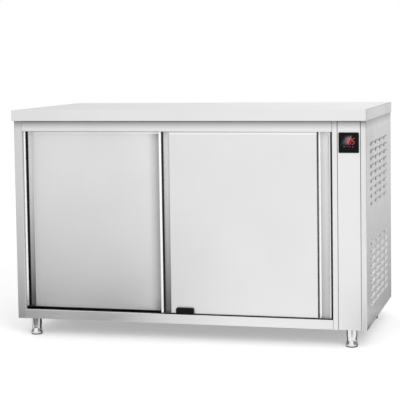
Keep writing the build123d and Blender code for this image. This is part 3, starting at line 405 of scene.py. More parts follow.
def chromed(name, colour):
    """Polished chrome with hairline wiping marks round it."""
    finish = Finish(name, colour, metallic=1.0)
    wiping = finish.noise(60.0, detail=3.0, stretch=(1.0, 1.0, 14.0))
    dull = finish.noise(14.0)
    finish.paint("Roughness", finish.plus(finish.spread(wiping, 0.04, 0.10),
                                          finish.spread(dull, 0.0, 0.05)))
    finish.paint("Base Color", finish.tones(dull, 0.95, 1.0))
    finish.bump(wiping, 0.04, 0.1 * MM, 0.5 * MM)
    return finish.material


def zinced(name, colour):
    """Zinc plating with a faint spangle."""
    finish = Finish(name, colour, metallic=1.0)
    tone = finish.spread(finish.cells(140.0, "Color"), 0.0, 1.0, 0.0, 1.0)
    finish.paint("Base Color", finish.mix(tone, scaled(colour, 0.86), scaled(colour, 1.08)))
    finish.paint("Roughness", finish.spread(tone, 0.34, 0.52, 0.0, 1.0))
    finish.bump(finish.noise(900.0), 0.06, 0.1 * MM, 0.6 * MM)
    return finish.material


def cast(name, colour):
    """Cast aluminium with a fine sandy skin."""
    finish = Finish(name, colour, metallic=1.0)
    sand = finish.noise(1400.0, detail=3.0)
    finish.paint("Base Color", finish.tones(finish.noise(40.0), 0.88, 1.05))
    finish.paint("Roughness", finish.spread(sand, 0.42, 0.62))
    finish.bump(sand, 0.25, 0.2 * MM, 0.8 * MM)
    return finish.material


def moulded(name, colour, roughness, gloss=0.5):
    """Moulded plastic with a fine spark texture and slightly worn edges."""
    finish = Finish(name, colour)
    finish.paint("Specular IOR Level", gloss)
    spark = finish.noise(1200.0)
    wear_and_sheen = finish.noise(30.0, detail=3.0)
    finish.paint("Base Color", finish.tones(wear_and_sheen, 1.0, 1.25, share=0.6))
    finish.paint("Roughness", finish.plus(finish.spread(spark, roughness - 0.05, roughness + 0.05),
                                          finish.spread(wear_and_sheen, -0.04, 0.05)))
    finish.bump(spark, 0.15, 0.1 * MM, 0.6 * MM)
    return finish.material


def glossed(name, colour, low, high):
    """Glossy black display glass between two corners, with faint finger marks and a painted grey
    sheen at the left of the figures, standing in for a reflection."""
    finish = Finish(name, colour)
    finish.paint("Specular IOR Level", 0.08)
    touches = finish.noise(70.0, detail=3.0)
    finish.paint("Roughness", finish.spread(touches, 0.06, 0.18))
    across, _, level = finish.axes()
    size = high - low
    lean = 0.45
    slope = finish.plus(across, finish.times(level, -lean))
    edge = low.x + 0.60 * size.x - lean * (low.z + 0.70 * size.z)
    # painted reflection: a grey sheen leaning with the figures
    painted_sheen = finish.times(
        finish.ease(slope, 0.0, 1.0, edge - 0.46 * size.x, edge),
        finish.spread(slope, 1.0, 0.0, edge, edge + 0.03 * size.x),
    )
    for near, far in ((0.30, 0.62), (0.92, 0.74)):
        painted_sheen = finish.times(painted_sheen, finish.ease(
            level, 0.0, 1.0, low.z + near * size.z, low.z + far * size.z))
    tone = finish.tones(touches, 1.0, 1.6)
    finish.paint("Base Color", finish.mix(painted_sheen, tone, (0.16, 0.16, 0.165)))
    return finish.material


def lit(name, colour, strength):
    """Lit figures, slightly uneven across each segment."""
    finish = Finish(name, colour, roughness=0.35)
    tone = finish.tones(finish.noise(260.0, detail=1.0), 0.85, 1.1)
    finish.paint("Base Color", tone)
    finish.paint("Emission Color", tone)
    finish.paint("Emission Strength", strength)
    return finish.material


def rubbered(name, colour):
    """Black rubber, slightly glossy and scuffed."""
    finish = Finish(name, colour)
    scuffs = finish.noise(120.0, detail=4.0)
    finish.paint("Base Color", finish.tones(scuffs, 1.0, 2.2, share=0.7))
    finish.paint("Roughness", finish.spread(scuffs, 0.36, 0.62))
    finish.bump(scuffs, 0.15, 0.2 * MM)
    return finish.material


def fibrous(name, colour):
    """Pressed mineral wool: tangled fibres in two colours."""
    finish = Finish(name, colour, roughness=0.95)
    fibres = finish.noise(420.0, detail=6.0, stretch=(1.0, 0.25, 1.0), rough=0.7)
    clumps = finish.noise(60.0, detail=3.0)
    finish.paint("Base Color", finish.mix(
        finish.spread(clumps, 0.0, 0.4), finish.tones(fibres, 0.6, 1.25), scaled(colour, 0.8)))
    finish.paint("Sheen Weight", 0.3)
    finish.bump(fibres, 0.8, 1 * MM)
    return finish.material


def foamed(name, colour):
    """Rigid foam with fine cells."""
    finish = Finish(name, colour, roughness=0.9)
    distance = finish.cells(900.0, "Distance")
    finish.paint("Base Color", finish.mix(
        finish.spread(distance, 0.0, 1.0, 0.0, 0.8), scaled(colour, 0.85), colour))
    finish.bump(distance, 0.5, 0.5 * MM)
    return finish.material


def chipboard(name, colour):
    """Raw particle board: flakes of several tones."""
    finish = Finish(name, colour, roughness=0.8)
    tone = finish.spread(finish.cells(260.0, "Color"), 0.0, 1.0, 0.0, 1.0)
    finish.paint("Base Color", finish.mix(tone, scaled(colour, 0.6), scaled(colour, 1.2)))
    finish.bump(tone, 0.3, 0.4 * MM)
    return finish.material


def dress(material, *nodes):
    """Gives CAD nodes their material."""
    for node in nodes:
        mesh = NODES[node].data
        mesh.materials.clear()
        mesh.materials.append(material)


# ---- Mesh helpers ----


def new_object(name, data):
    """Puts a new object into the scene."""
    made = bpy.data.objects.new(name, data)
    bpy.context.scene.collection.objects.link(made)
    return made


def new_piece(name, mesh, material, body):
    """Puts a finished mesh into the scene as a piece that rides on a body."""
    piece = new_object(name, mesh)
    mesh.materials.clear()
    mesh.materials.append(material)
    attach(piece, body)


def finished_mesh(name, bm):
    bmesh.ops.recalc_face_normals(bm, faces=bm.faces)
    mesh = bpy.data.meshes.new(name)
    bm.to_mesh(mesh)
    bm.free()
    return mesh


def between(low, high, count):
    return [low + (high - low) * index / (count - 1) for index in range(count)]


def grid(xs, ys, zs, outward):
    """The places of a grid, each with the way it faces."""
    return [((x, y, z), outward) for x in xs for y in ys for z in zs]


def ring(items):
    """Each item with the one after it, the last one with the first."""
    return list(zip(items, items[1:] + items[:1]))


def on_glass(bm, outline, x, z, glass_front, thickness, slant=0.0):
    """Adds a flat shape that starts just before the glass and leans to the right."""
    front, back = (
        [bm.verts.new((x + u + v * slant, glass_front - 0.02 * MM - out, z + v))
         for u, v in outline]
        for out in (thickness, 0.0)
    )
    bm.faces.new(front)
    bm.faces.new(list(reversed(back)))
    for (near, near_next), (far, far_next) in zip(ring(front), ring(back)):
        bm.faces.new((near_next, near, far, far_next))


def turned(bm, levels, sides):
    """Adds a round skin through levels of radius and height, closed at its first one, and
    gives its circles."""
    circles = []
    for radius, height in levels:
        turns = [2 * pi * side / sides for side in range(sides)]
        circles.append([
            bm.verts.new((radius * cos(turn), radius * sin(turn), height))
            for turn in turns
        ])
    for lower, upper in zip(circles, circles[1:]):
        for (low, low_next), (high, high_next) in zip(ring(lower), ring(upper)):
            bm.faces.new((low, low_next, high_next, high))
    bm.faces.new(list(reversed(circles[0])))
    return circles


def screw_head_mesh(name, radius, rise):
    """A pan head with a cross recess, standing on Z = 0 and closed below."""
    rings = 5
    levels = [(radius, -rise * 0.2)]
    for step in range(rings + 1):
        angle = radians(90) * step / rings
        levels.append((radius * (0.45 + 0.55 * cos(angle)), rise * sin(angle)))
    bm = bmesh.new()
    top = turned(bm, levels, sides=24)[-1]
    # the recess: a four-armed cross sunk into the flat top
    arm = radius * 0.34
    half = radius * 0.09
    cross = [
        Matrix.Rotation(quarter * pi / 2, 3, "Z") @ Vector((x, y, rise))
        for quarter in range(4)
        for x, y in ((arm, -half), (arm, half), (half, half))
    ]
    rim = [bm.verts.new(point) for point in cross]
    floor = [bm.verts.new((point.x * 0.8, point.y * 0.8, rise * 0.35)) for point in cross]
    for (near, near_next), (deep, deep_next) in zip(ring(rim), ring(floor)):
        bm.faces.new((near, near_next, deep_next, deep))
    bm.faces.new(floor)
    edges = [bm.edges.get(pair) for pair in ring(rim) + ring(top)]
    bmesh.ops.triangle_fill(bm, use_beauty=True, edges=edges)
    return finished_mesh(name, bm)


def dome_mesh(name, radius, rise):
    """A shallow rivet dome standing on Z = 0 and closed below."""
    rings = 4
    angles = [radians(90) * step / rings for step in range(rings)]
    bm = bmesh.new()
    last = turned(
        bm, [(radius * cos(angle), rise * sin(angle)) for angle in angles], sides=20
    )[-1]
    crown = bm.verts.new((0, 0, rise))
    for near, near_next in ring(last):
        bm.faces.new((near, near_next, crown))
    return finished_mesh(name, bm)


def spread_tree(name):
    """A node tree that sets a head on every point, turned to face the point's outward way."""
    group = bpy.data.node_groups.new(name, "GeometryNodeTree")
    for label, kind in (("Geometry", "Geometry"), ("Head", "Object"), ("Head Turn", "Float"),
                        ("Seed", "Int"), ("Material", "Material")):
        group.interface.new_socket(label, in_out="INPUT", socket_type=f"NodeSocket{kind}")
    group.interface.new_socket("Geometry", in_out="OUTPUT", socket_type="NodeSocketGeometry")
    tree = Tree(group)
    given = tree.node("NodeGroupInput").outputs
    outward = tree.node("GeometryNodeInputNamedAttribute", {"Name": "outward"},
                        data_type="FLOAT_VECTOR")
    align = tree.node("FunctionNodeAlignRotationToVector",
                      {"Vector": outward.outputs["Attribute"]}, axis="Z")
    spin = tree.node("FunctionNodeRandomValue", {"Seed": given["Seed"]}, data_type="FLOAT")
    plain = {
        socket.name: socket
        for socket in (*spin.inputs, *spin.outputs) if socket.type == "VALUE"
    }
    tree.feed(plain["Min"], 0.0)
    tree.feed(plain["Max"], given["Head Turn"])
    combine = tree.node("ShaderNodeCombineXYZ", {"Z": plain["Value"]})
    euler = tree.node("FunctionNodeEulerToRotation", {"Euler": combine.outputs[0]})
    twist = tree.node("FunctionNodeRotateRotation",
                      {"Rotation": align.outputs[0], "Rotate By": euler.outputs[0]},
                      rotation_space="LOCAL")
    head = tree.node("GeometryNodeObjectInfo", {"Object": given["Head"]},
                     transform_space="ORIGINAL")
    points = tree.node("GeometryNodeInstanceOnPoints",
                       {"Points": given["Geometry"], "Instance": head.outputs["Geometry"],
                        "Rotation": twist.outputs[0]})
    realized = tree.node("GeometryNodeRealizeInstances", {"Geometry": points.outputs[0]})
    painted = tree.node("GeometryNodeSetMaterial",
                        {"Geometry": realized.outputs[0], "Material": given["Material"]})
    tree.node("NodeGroupOutput", {"Geometry": painted.outputs[0]})
    return group


def set_heads(name, places, head_mesh, turn, material, body):
    """Sets a head at each (point, outward) place and makes the result one plain mesh piece."""
    mesh = bpy.data.meshes.new(f"{name}_points")
    mesh.from_pydata([point for point, _ in places], [], [])
    outward = mesh.attributes.new("outward", "FLOAT_VECTOR", "POINT")
    for index, (_, way) in enumerate(places):
        outward.data[index].vector = way
    holder = new_object(f"{name}_points", mesh)
    head = new_object(f"{name}_head", head_mesh)
    group = spread_tree(f"{name}_spread")
    modifier = holder.modifiers.new("Spread", "NODES")
    modifier.node_group = group
    settings = {"Head": head, "Head Turn": turn, "Seed": len(places), "Material": material}
    for item in group.interface.items_tree:
        if item.name in settings:
            modifier[item.identifier] = settings[item.name]
    bpy.context.view_layer.update()
    evaluated = holder.evaluated_get(bpy.context.evaluated_depsgraph_get())
    plain = bpy.data.meshes.new_from_object(evaluated)
    if len(plain.polygons) == 0:
        raise RuntimeError(f"{name} came out empty")
    plain.name = name
    for attribute in [a for a in plain.attributes if a.name == "outward"]:
        plain.attributes.remove(attribute)
    bpy.data.objects.remove(holder)
    bpy.data.objects.remove(head)
    new_piece(name, plain, material, body)


# ---- Finishes ----

GRIP_SHADE = (0.70, 0.13)  # between these heights painted shade makes the hollow grips darker downwards


class CABINET_OT_panels(Operator):
    """Gives the worktop, outer panels, rails and doors their brushed steel."""

    bl_idname = "cabinet.panels"
    bl_label = "Outer steel"

    def execute(self, context):
        steel = context.scene.cabinet_steel
        shared = (steel.roughness, steel.grain, steel.edge_radius)
        low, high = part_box("top_rail")
        # painted shade under the worktop, from the top rail's top 30 mm down
        shade_below_lip = (high.z, 30 * MM)
        # the post's inner return face is dressed as a shaded grip: matt, its colour painted down
        # to 0.78 as shade
        inner_face = ((low.x - 0.5 * MM, low.x + 0.5 * MM, high.y), (0.78, 0.78),
                      (*GRIP_SHADE, 0.0))
        dress(brushed("worktop_steel", steel.top_colour, *shared, along="X"), "worktop")
        # the side, upright and louvred sheets take darker and lighter copies of the panel steel
        # (0.89, 1.02, 0.95) as painted shade and light
        dress(brushed("panel_steel_side", scaled(steel.panel_colour, 0.89), *shared, crease_shade=0.6,
                      shade_below_lip=shade_below_lip, shaded_grips=(inner_face,), matt=0.1), "left_side")
        dress(brushed("panel_steel_upright", scaled(steel.panel_colour, 1.02), *shared,
                      shade_below_lip=shade_below_lip), "back_panel", "divider_panel", "control_cover")
        # the louvre crests low on the right side are painted bright as a highlight
        dress(brushed("panel_steel_louvred", scaled(steel.panel_colour, 0.95),
                      steel.roughness - 0.06, steel.grain, steel.edge_radius,
                      shade_below_lip=shade_below_lip,
                      wear_and_sheen=(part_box("right_side")[1].x - 1 * MM, 0.32, 0.37)), "right_side")
        dress(brushed("panel_steel_level", steel.panel_colour, *shared, along="X",
                      shade_below_lip=shade_below_lip), "top_rail", "bottom_rail", "base_panel")
        for side in ("left", "right"):
            self.door(steel, shared, side, low.z)
        return {"FINISHED"}

    def door(self, steel, shared, side, opening):
        """Dresses one door; opening is the height of the door opening's top."""
        low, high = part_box(f"{side}_door_skin")
        front = low.y + 2 * MM
        wall = low.x + steel.lip_width
        mouth = high.x - steel.right_grip_width
        floor = (wall + 2.5 * MM, low.x + steel.grip_width)
        halfway = sum(floor) / 2
        looks = {"matt": 0.6}
        if side == "left":
            looks = {
                "matt": 0.9,
                # painted contact shade on the left door beside the right door in front of it
                "painted_contact_shade_x": high.x - 110 * MM,
                "rolls": (
                    (low.x - 1 * MM, low.x + 3 * MM, 3.4 * MM),
                    (low.x + 3 * MM, wall, 2.8 * MM),
                    (floor[0], halfway, 6.0 * MM),
                    (halfway, floor[1], 3.0 * MM),
                    (floor[1] - 1 * MM, floor[1] + 3 * MM, 2.5 * MM),
                ),
            }
        # the doors take a slightly darker copy of the panel steel as painted shade
        door = brushed(
            f"door_steel_{side}", scaled(steel.panel_colour, 0.985), *shared,
            crease_shade=0.4, roundness=2.5,
            # the lips are painted white as highlights
            lip_highlights=((low.x, wall, front), (mouth + 4 * MM, mouth + 9.5 * MM, high.y)),
            # the folds are painted near black as shade
            fold_shadows=((wall, wall + 3.5 * MM, high.y),
                   (mouth - 0.5 * MM, mouth + 1.5 * MM, high.y)),
            # the grips are painted shade: toned across and darker downwards
            shaded_grips=(
                ((*floor, high.y), (0.9, 0.9), (*GRIP_SHADE, 0.75)),
                ((mouth + 10 * MM, high.x - 7 * MM, high.y), (0.68, 1.0), (*GRIP_SHADE, 0.25)),
            ),
            # a white line just under the opening, painted as a highlight
            crest_highlights=((opening - 10 * MM, opening - 5 * MM, front),), **looks,
        )
        dress(door, f"{side}_door_skin", f"{side}_door_inner")


class CABINET_OT_lining(Operator):
    """Gives the warm chamber, its shelf, air guide and heater their duller sheet."""

    bl_idname = "cabinet.lining"
    bl_label = "Warm chamber"

    def execute(self, context):
        steel = context.scene.cabinet_steel
        shared = (steel.liner_colour, 0.42, steel.grain, 1 * MM)
        dress(brushed("liner_steel", *shared),
              "chamber_left_wall", "chamber_right_wall", "chamber_back_wall", "air_guide")
        dress(brushed("liner_steel_flat", *shared, along="X"),
              "chamber_floor", "chamber_ceiling", "shelf", "shelf_supports")
        dress(brushed("heater_steel", (0.27, 0.24, 0.22), 0.4, 0.4 * MM, 0.5 * MM, along="X"),
              "heating_element")
        dress(fibrous("mineral_wool", (0.62, 0.53, 0.30)), "insulation_left",
              "insulation_back", "insulation_top", "insulation_floor", "insulation_divider")
        dress(chipboard("board", (0.50, 0.36, 0.21)), "worktop_board")
        dress(foamed("foam", (0.80, 0.72, 0.50)), "left_door_core", "right_door_core")
        return {"FINISHED"}


class CABINET_OT_gear(Operator):
    """Gives the track, hangers, rollers, fan and supply parts their finishes."""

    bl_idname = "cabinet.gear"
    bl_label = "Door gear and fan"

    def execute(self, context):
        dress(zinced("zinc_steel", (0.60, 0.61, 0.63)),
              "door_track", "left_door_hangers", "right_door_hangers", "leg_bolts")
        dress(moulded("nylon", (0.80, 0.80, 0.77), 0.45),
              "left_door_left_roller", "left_door_right_roller",
              "right_door_left_roller", "right_door_right_roller")
        dress(moulded("guide_plastic", (0.30, 0.30, 0.31), 0.5), "terminal_block")
        dress(moulded("black_plastic", (0.008, 0.008, 0.009), 0.36, gloss=0.15),
              "cable_gland", "leg_inserts", "safety_thermostat", "controller_case")
        dress(moulded("guide_black", (0.006, 0.006, 0.006), 0.45, gloss=0.08), "bottom_guide")
        dress(cast("motor_aluminium", (0.62, 0.63, 0.64)), "fan_motor", "fan_impeller")
        dress(rubbered("rubber", (0.016, 0.016, 0.016)), "door_buffers")
        return {"FINISHED"}


class CABINET_OT_legs(Operator):
    """Gives the legs and feet their chrome and the pads their rubber."""

    bl_idname = "cabinet.legs"
    bl_label = "Legs and feet"

    def execute(self, context):
        chrome = chromed("chrome", context.scene.cabinet_steel.chrome_colour)
        rubber = rubbered("pad_rubber", (0.014, 0.014, 0.014))
        for place in ("front_left", "front_right", "rear_left", "rear_right"):
            dress(chrome, f"leg_{place}", f"foot_{place}")
            dress(rubber, f"foot_pad_{place}")
        return {"FINISHED"}


# ---- Display ----

# Which of the seven strokes each figure lights, in the order top, upper right,
# lower right, bottom, lower left, upper left, middle
STROKES = {
    "0": "1111110", "1": "0110000", "2": "1101101", "3": "1111001", "4": "0110011",
    "5": "1011011", "6": "1011111", "7": "1110000", "8": "1111111", "9": "1111011",
}
# Places on the glass, from its middle, and the spacing and size of the marks
FIGURES_RIGHT = 5.0 * MM
FIGURES_UP = 5.0 * MM
FIRST_KEY_LEFT = 16.0 * MM
KEYS_DOWN = 14.1 * MM
KEY_PITCH = 10.2 * MM
LAMPS_DOWN = 23.8 * MM
LAMP_RADIUS = 0.9 * MM


class CABINET_OT_display(Operator):
    """Builds the glass, the lit figures and the touch-key marks of the controller."""

    bl_idname = "cabinet.display"
    bl_label = "Display"

    def execute(self, context):
        display = context.scene.cabinet_display
        low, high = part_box("controller_lens")
        dress(glossed("display_glass", (0.003, 0.003, 0.0033), low, high), "controller_lens")
        middle = (low + high) / 2
        self.set_figures(display, middle, low.y)
        self.set_keys(display.key_size, middle, low.y)
        self.set_lamps(middle, low.y)
        return {"FINISHED"}

    def add(self, name, bm, look, colour, strength):
        new_piece(name, finished_mesh(name, bm), lit(look, colour, strength), "cabinet")

    def set_figures(self, display, middle, glass_front):
        """Slanted seven-stroke figures, their strokes pointed at both ends."""
        height = display.figure_height
        pitch = height * 0.53
        stroke = height * 0.09
        gap = stroke * 0.12
        half = stroke / 2
        side = height * 0.42 / 2 - half
        top = (height - stroke) / 2
        placed = (
            (0, top, False), (side, top / 2, True), (side, -top / 2, True), (0, -top, False),
            (-side, -top / 2, True), (-side, top / 2, True), (0, 0, False),
        )
        left = middle.x + FIGURES_RIGHT - pitch * (len(display.figures) - 1) / 2
        bm = bmesh.new()
        for index, figure in enumerate(display.figures):
            if figure not in STROKES:
                raise RuntimeError(f"the display has no figure {figure!r}")
            for light, (x, z, upright) in zip(STROKES[figure], placed):
                if light == "0":
                    continue
                reach = (top / 2 if upright else side) - gap
                outline = [
                    (-reach, 0), (-reach + half, half), (reach - half, half),
                    (reach, 0), (reach - half, -half), (-reach + half, -half),
                ]
                if upright:
                    outline = [(v, -u) for u, v in outline]
                on_glass(bm, [(x + u, z + v) for u, v in outline], left + index * pitch,
                         middle.z + FIGURES_UP, glass_front, 0.12 * MM,
                         tan(display.figure_slant))
        self.add("display_figures", bm, "display_red", display.figure_colour, 0.45)

    def set_keys(self, size, middle, glass_front):
        """Four touch-key marks: a broken ring with a stroke, a minus, a plus and an arrow."""
        half = size / 2
        thin = size * 0.16

        def box(left, bottom, right, top):
            return [(left, bottom), (right, bottom), (right, top), (left, top)]

        arc = [(sin(turn), cos(turn))
               for turn in between(radians(35), radians(325), 20)]
        inner = half - 2 * thin
        marks = [
            (0, [(ax * half, ay * half), (ax * inner, ay * inner),
                 (bx * inner, by * inner), (bx * half, by * half)])
            for (ax, ay), (bx, by) in zip(arc, arc[1:])
        ]
        marks += [
            (0, box(-thin, 0, thin, half)),
            (1, box(-half, -thin, half, thin)),
            (2, box(-half, -thin, half, thin)),
            (2, box(-thin, thin, thin, half)),
            (2, box(-thin, -half, thin, -thin)),
            (3, box(-half, -half, half, -half + 2 * thin)),
            (3, [(-half, half * 0.1), (half, half * 0.1), (0, half)]),
        ]
        bm = bmesh.new()
        for key, outline in marks:
            on_glass(bm, outline, middle.x - FIRST_KEY_LEFT + key * KEY_PITCH,
                     middle.z - KEYS_DOWN, glass_front, 0.08 * MM)
        self.add("display_key_marks", bm, "display_mark_grey", (0.10, 0.11, 0.11), 0.10)

    def set_lamps(self, middle, glass_front):
        """A faint row of round lamps below the keys."""
        round_lamp = [(LAMP_RADIUS * cos(turn), LAMP_RADIUS * sin(turn))
                      for turn in between(0, 2 * pi * 11 / 12, 12)]
        bm = bmesh.new()
        for index in range(3):
            on_glass(bm, round_lamp, middle.x - FIRST_KEY_LEFT + (index + 0.5) * KEY_PITCH,
                     middle.z - LAMPS_DOWN, glass_front, 0.08 * MM)
        self.add("display_lamps", bm, "display_lamp_red", (0.10, 0.012, 0.010), 0.10)


# ---- Rivets and screws ----

SCREW_TURN = 1.5  # each screw head is turned by chance, up to this angle


class CABINET_OT_fixings(Operator):
    """Sets the rivets of the back panel and the screws of the guide, fan and terminals."""

    bl_idname = "cabinet.fixings"
    bl_label = "Rivets and screws"

    def execute(self, context):
        sizes = context.scene.cabinet_fixings
        bright = brushed("fixing_steel", (0.72, 0.72, 0.72), 0.3, 0.5 * MM, 0.4 * MM)
        dome = dome_mesh("rivet_dome", sizes.rivet_radius, sizes.rivet_rise)
        pan = screw_head_mesh("screw_pan", sizes.screw_radius, sizes.screw_rise)

        low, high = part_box("back_panel")
        inset = 34 * MM
        edge = 12 * MM
        rows = (low.z + edge, high.z - edge)
        places = []
        for z in rows:
            places += grid(between(low.x + inset, high.x - inset, sizes.rivet_columns),
                           (high.y,), (z,), (0, 1, 0))
        places += grid((low.x + inset, high.x - inset), (high.y,), between(*rows, 6)[1:-1],
                       (0, 1, 0))
        set_heads("back_panel_rivets", places, dome, 0.0, bright, "cabinet")

        low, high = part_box("chamber_back_wall")
        places = grid(between(low.x + 40 * MM, high.x - 110 * MM, 6), (low.y,),
                      (low.z + 60 * MM, high.z - 75 * MM), (0, -1, 0))
        set_heads("chamber_rivets", places, dome, 0.0, bright, "cabinet")

        low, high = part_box("air_guide")
        edge = 9 * MM
        places = grid((low.x,), (low.y + edge, high.y - edge),
                      between(low.z + 3 * edge, high.z - 3 * edge, 3), (-1, 0, 0))
        set_heads("air_guide_screws", places, pan, SCREW_TURN, bright, "cabinet")

        low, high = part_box("fan_motor")
        edge = 8 * MM
        places = grid((low.x + 2 * MM,), (low.y + edge, high.y - edge),
                      (low.z + edge, high.z - edge), (1, 0, 0))
        low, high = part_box("terminal_block")
        centre = (low + high) / 2
        for shift in (-14 * MM, 0, 14 * MM):
            places += grid((low.x + 3.7 * MM, high.x - 3.7 * MM), (centre.y + shift,),
                           (low.z + 12 * MM,), (0, 0, 1))
        set_heads("motor_and_terminal_screws", places, pan, SCREW_TURN, bright, "cabinet")
        return {"FINISHED"}


# ---- Studio ----

# The camera stands to the right of the cabinet and looks slightly down at it
CAMERA_PLACE = (1.332, -4.966, 1.046)
CAMERA_YAW = radians(-14.164)
CAMERA_PITCH = radians(-3.829)
CAMERA_ROLL = radians(-0.741)
CAMERA_LENS = 119.89
CAMERA_SHIFT = (-0.07, -0.14)
# The camera as the doors mirror it: where it seems to stand, and how far from the doors
MIRRORED_X = 1.33
MIRRORED_Y = 4.35
MIRRORED_DISTANCE = 4.66
FLOOR_REACH = 14.0
LAMP_PLACE = (2.4, -3.8, 2.7)
LAMP_AIM = (-0.2, 0.0, 0.4)
LAMP_SIZE = 2.4


class CABINET_OT_studio(Operator):
    """Sets up the floor, the light and the camera."""

    bl_idname = "cabinet.studio"
    bl_label = "Studio"

    def execute(self, context):
        studio = context.scene.cabinet_studio
        scene = context.scene
        scene.view_settings.view_transform = "Standard"
        self.camera(scene)
        self.world(scene, studio)
        self.floor(studio)
        self.lamp(studio.key_power)
        return {"FINISHED"}

    def camera(self, scene):
        camera = new_object("camera", bpy.data.cameras.new("camera"))
        turn = (Matrix.Rotation(-CAMERA_YAW, 4, "Z")
                @ Matrix.Rotation(radians(90) + CAMERA_PITCH, 4, "X")
                @ Matrix.Rotation(CAMERA_ROLL, 4, "Z"))
        camera.matrix_world = Matrix.Translation(CAMERA_PLACE) @ turn
        camera.data.lens = CAMERA_LENS
        camera.data.sensor_width = 36.0
        camera.data.shift_x, camera.data.shift_y = CAMERA_SHIFT
        camera.data.dof.use_dof = False
        scene.camera = camera

    def world(self, scene, studio):
        """White to the eye, plain for matt surfaces, and bright and dark fields for metal."""
        world = bpy.data.worlds.new("studio")
        scene.world = world
        world.use_nodes = True
        world.node_tree.nodes.clear()
        graph = Graph(world.node_tree)
        x, y, z = graph.axes()
        right = graph.ease(x, 0.0, 0.74, 0.45, 0.75)
        left = graph.plus(graph.ease(x, 0.75, 0.0, -0.9, -0.6),
                          graph.spread(x, 0.06, 0.0, -0.42, -0.12))
        behind = graph.times(graph.ease(y, 0.0, 1.0, 0.5, 0.85),
                             graph.ease(x, 0.0, 1.0, -0.02, 0.10),
                             graph.ease(z, 0.0, studio.back_dimming, 0.03, 0.11))
        far_left = graph.times(graph.ease(y, 0.0, 0.22, 0.5, 0.85),
                               graph.ease(x, 1.0, 0.0, -0.42, -0.12))
        dark = graph.plus(behind, right, left, far_left)
        field = graph.arithmetic("MAXIMUM", graph.minus(1.0, dark), 0.08)
        path = graph.node("ShaderNodeLightPath").outputs
        strength = studio.sky_strength
        for ray, seen in (("Is Glossy Ray", field), ("Is Camera Ray", 1.0)):
            strength = graph.node("ShaderNodeMix", {0: path[ray], 2: strength, 3: seen},
                                  data_type="FLOAT").outputs[0]
        sky = graph.node("ShaderNodeBackground", {"Color": (1, 1, 1, 1), "Strength": strength})
        graph.node("ShaderNodeOutputWorld", {"Surface": sky.outputs[0]})

    def floor(self, studio):
        bm = bmesh.new()
        square = ((-1, -1), (1, -1), (1, 1), (-1, 1))
        bm.faces.new([bm.verts.new((x * FLOOR_REACH, y * FLOOR_REACH, 0.0)) for x, y in square])
        mesh = finished_mesh("floor", bm)
        floor = new_object("floor", mesh)
        finish = Finish("floor_paint", studio.floor_colour, roughness=0.9)
        finish.paint("Base Color", finish.tones(finish.noise(3.0), 0.98, 1.0))
        self.floor_looks(finish, studio.floor_lift, self.floor_field(finish, studio))
        mesh.materials.append(finish.material)

    def floor_looks(self, finish, lift, field):
        """Lifts the floor to white for the eye, with its shadow, and gives metal its fields."""
        path = finish.node("ShaderNodeLightPath").outputs
        plain = finish.shader.outputs[0]
        glow = finish.node("ShaderNodeEmission", {"Color": (1, 1, 1, 1), "Strength": lift})
        lifted = finish.node("ShaderNodeAddShader", {0: plain, 1: glow.outputs[0]})
        seen = finish.node("ShaderNodeMixShader",
                           {0: path["Is Camera Ray"], 1: plain, 2: lifted.outputs[0]})
        mirrored = finish.node("ShaderNodeEmission", {"Strength": field})
        chosen = finish.node("ShaderNodeMixShader", {
            0: path["Is Glossy Ray"], 1: seen.outputs[0], 2: mirrored.outputs[0]})
        output = next(node for node in finish.tree.nodes if node.type == "OUTPUT_MATERIAL")
        finish.feed(output.inputs["Surface"], chosen.outputs[0])

    def floor_field(self, finish, studio):
        """How bright metal mirrors each place of the floor."""
        x, y, _ = finish.axes()
        times, plus, spread, around = finish.times, finish.plus, finish.spread, finish.around
        # darker towards the front left, which the doors and the post mirror
        stretch = finish.minus(MIRRORED_Y, y)
        aside = finish.arithmetic("DIVIDE", finish.minus(MIRRORED_X, x), stretch)
        near = finish.arithmetic("DIVIDE", MIRRORED_DISTANCE, stretch)
        front_left = times(spread(aside, 0.0, 1.0, 0.24, 0.43), spread(near, 0.0, 1.0, 0.38, 1.0),
                           finish.ease(y, 1.0, 0.0, -0.5, -0.3))
        # the strip close in front, which the bottom rail and the post's lower end mirror
        strip = times(spread(near, 0.0, 0.18, 0.865, 0.915), front_left)
        # a low band in front, which the middles of the legs mirror
        band = times(around(y, -0.8, 0.5, 0.22, 0.36),
                     plus(around(x, -0.42, 1.0, 0.08, 0.16), around(x, 0.68, 1.0, 0.08, 0.16)))
        # behind the right side, and far to the right
        beside = times(finish.ease(y, 0.0, 0.6, 0.1, 0.5), spread(x, 1.0, 0.0, 0.7, 2.2))
        far_right = times(finish.ease(x, 0.0, 0.74, 2.2, 4.0),
                          finish.ease(y, 0.0, 1.0, -2.0, -1.0))
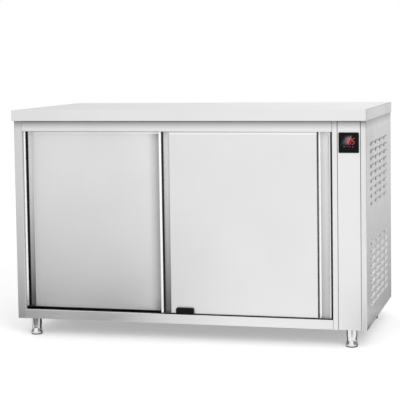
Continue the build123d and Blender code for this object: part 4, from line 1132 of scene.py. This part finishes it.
        # under the cabinet, and on both sides of its middle
        under = times(around(x, 0.0, 0.9, 0.70, 0.80), around(y, 0.0, 1.0, 0.27, 0.36))
        abreast = times(around(x, 0.0, 0.6, 0.86, 1.05), around(y, -0.09, 1.0, 0.13, 0.20))
        dark = plus(times(front_left, studio.left_dimming), beside, under, abreast,
                    finish.arithmetic("MAXIMUM", band, strip), far_right)
        return finish.arithmetic("MAXIMUM", finish.minus(1.0, dark), 0.05)

    def lamp(self, power):
        """The soft light at the front right."""
        data = bpy.data.lights.new("key", "AREA")
        data.shape = "SQUARE"
        data.size = LAMP_SIZE
        data.energy = power
        lamp = new_object("key", data)
        lamp.location = LAMP_PLACE
        lamp.visible_glossy = False
        way = Vector(LAMP_AIM) - Vector(LAMP_PLACE)
        lamp.rotation_euler = way.to_track_quat("-Z", "Y").to_euler()


# ---- Panel and registration ----

STEPS = (
    CABINET_OT_panels,
    CABINET_OT_lining,
    CABINET_OT_gear,
    CABINET_OT_legs,
    CABINET_OT_display,
    CABINET_OT_fixings,
    CABINET_OT_studio,
)
GROUPS = {
    "cabinet_steel": SteelSettings,
    "cabinet_display": DisplaySettings,
    "cabinet_fixings": FixingSettings,
    "cabinet_studio": StudioSettings,
}


class CABINET_PT_panel(Panel):
    """Lists the settings of the cabinet and the steps that dress it."""

    bl_idname = "CABINET_PT_panel"
    bl_label = "Plate Warmer Cabinet"
    bl_space_type = "VIEW_3D"
    bl_region_type = "UI"
    bl_category = "Cabinet"

    def draw(self, context):
        column = self.layout.column()
        for group in GROUPS:
            settings = getattr(context.scene, group)
            for name in settings.__annotations__:
                column.prop(settings, name)
        for step in STEPS:
            column.operator(step.bl_idname)


CLASSES = (*GROUPS.values(), *STEPS, CABINET_PT_panel)


def register():
    for entry in CLASSES:
        bpy.utils.register_class(entry)
    for name, group in GROUPS.items():
        setattr(bpy.types.Scene, name, PointerProperty(type=group))


def unregister():
    for name in GROUPS:
        delattr(bpy.types.Scene, name)
    for entry in reversed(CLASSES):
        bpy.utils.unregister_class(entry)


def main():
    register()
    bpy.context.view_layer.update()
    for step in STEPS:
        group, name = step.bl_idname.split(".")
        getattr(getattr(bpy.ops, group), name)()


if __name__ == "__main__":
    main()
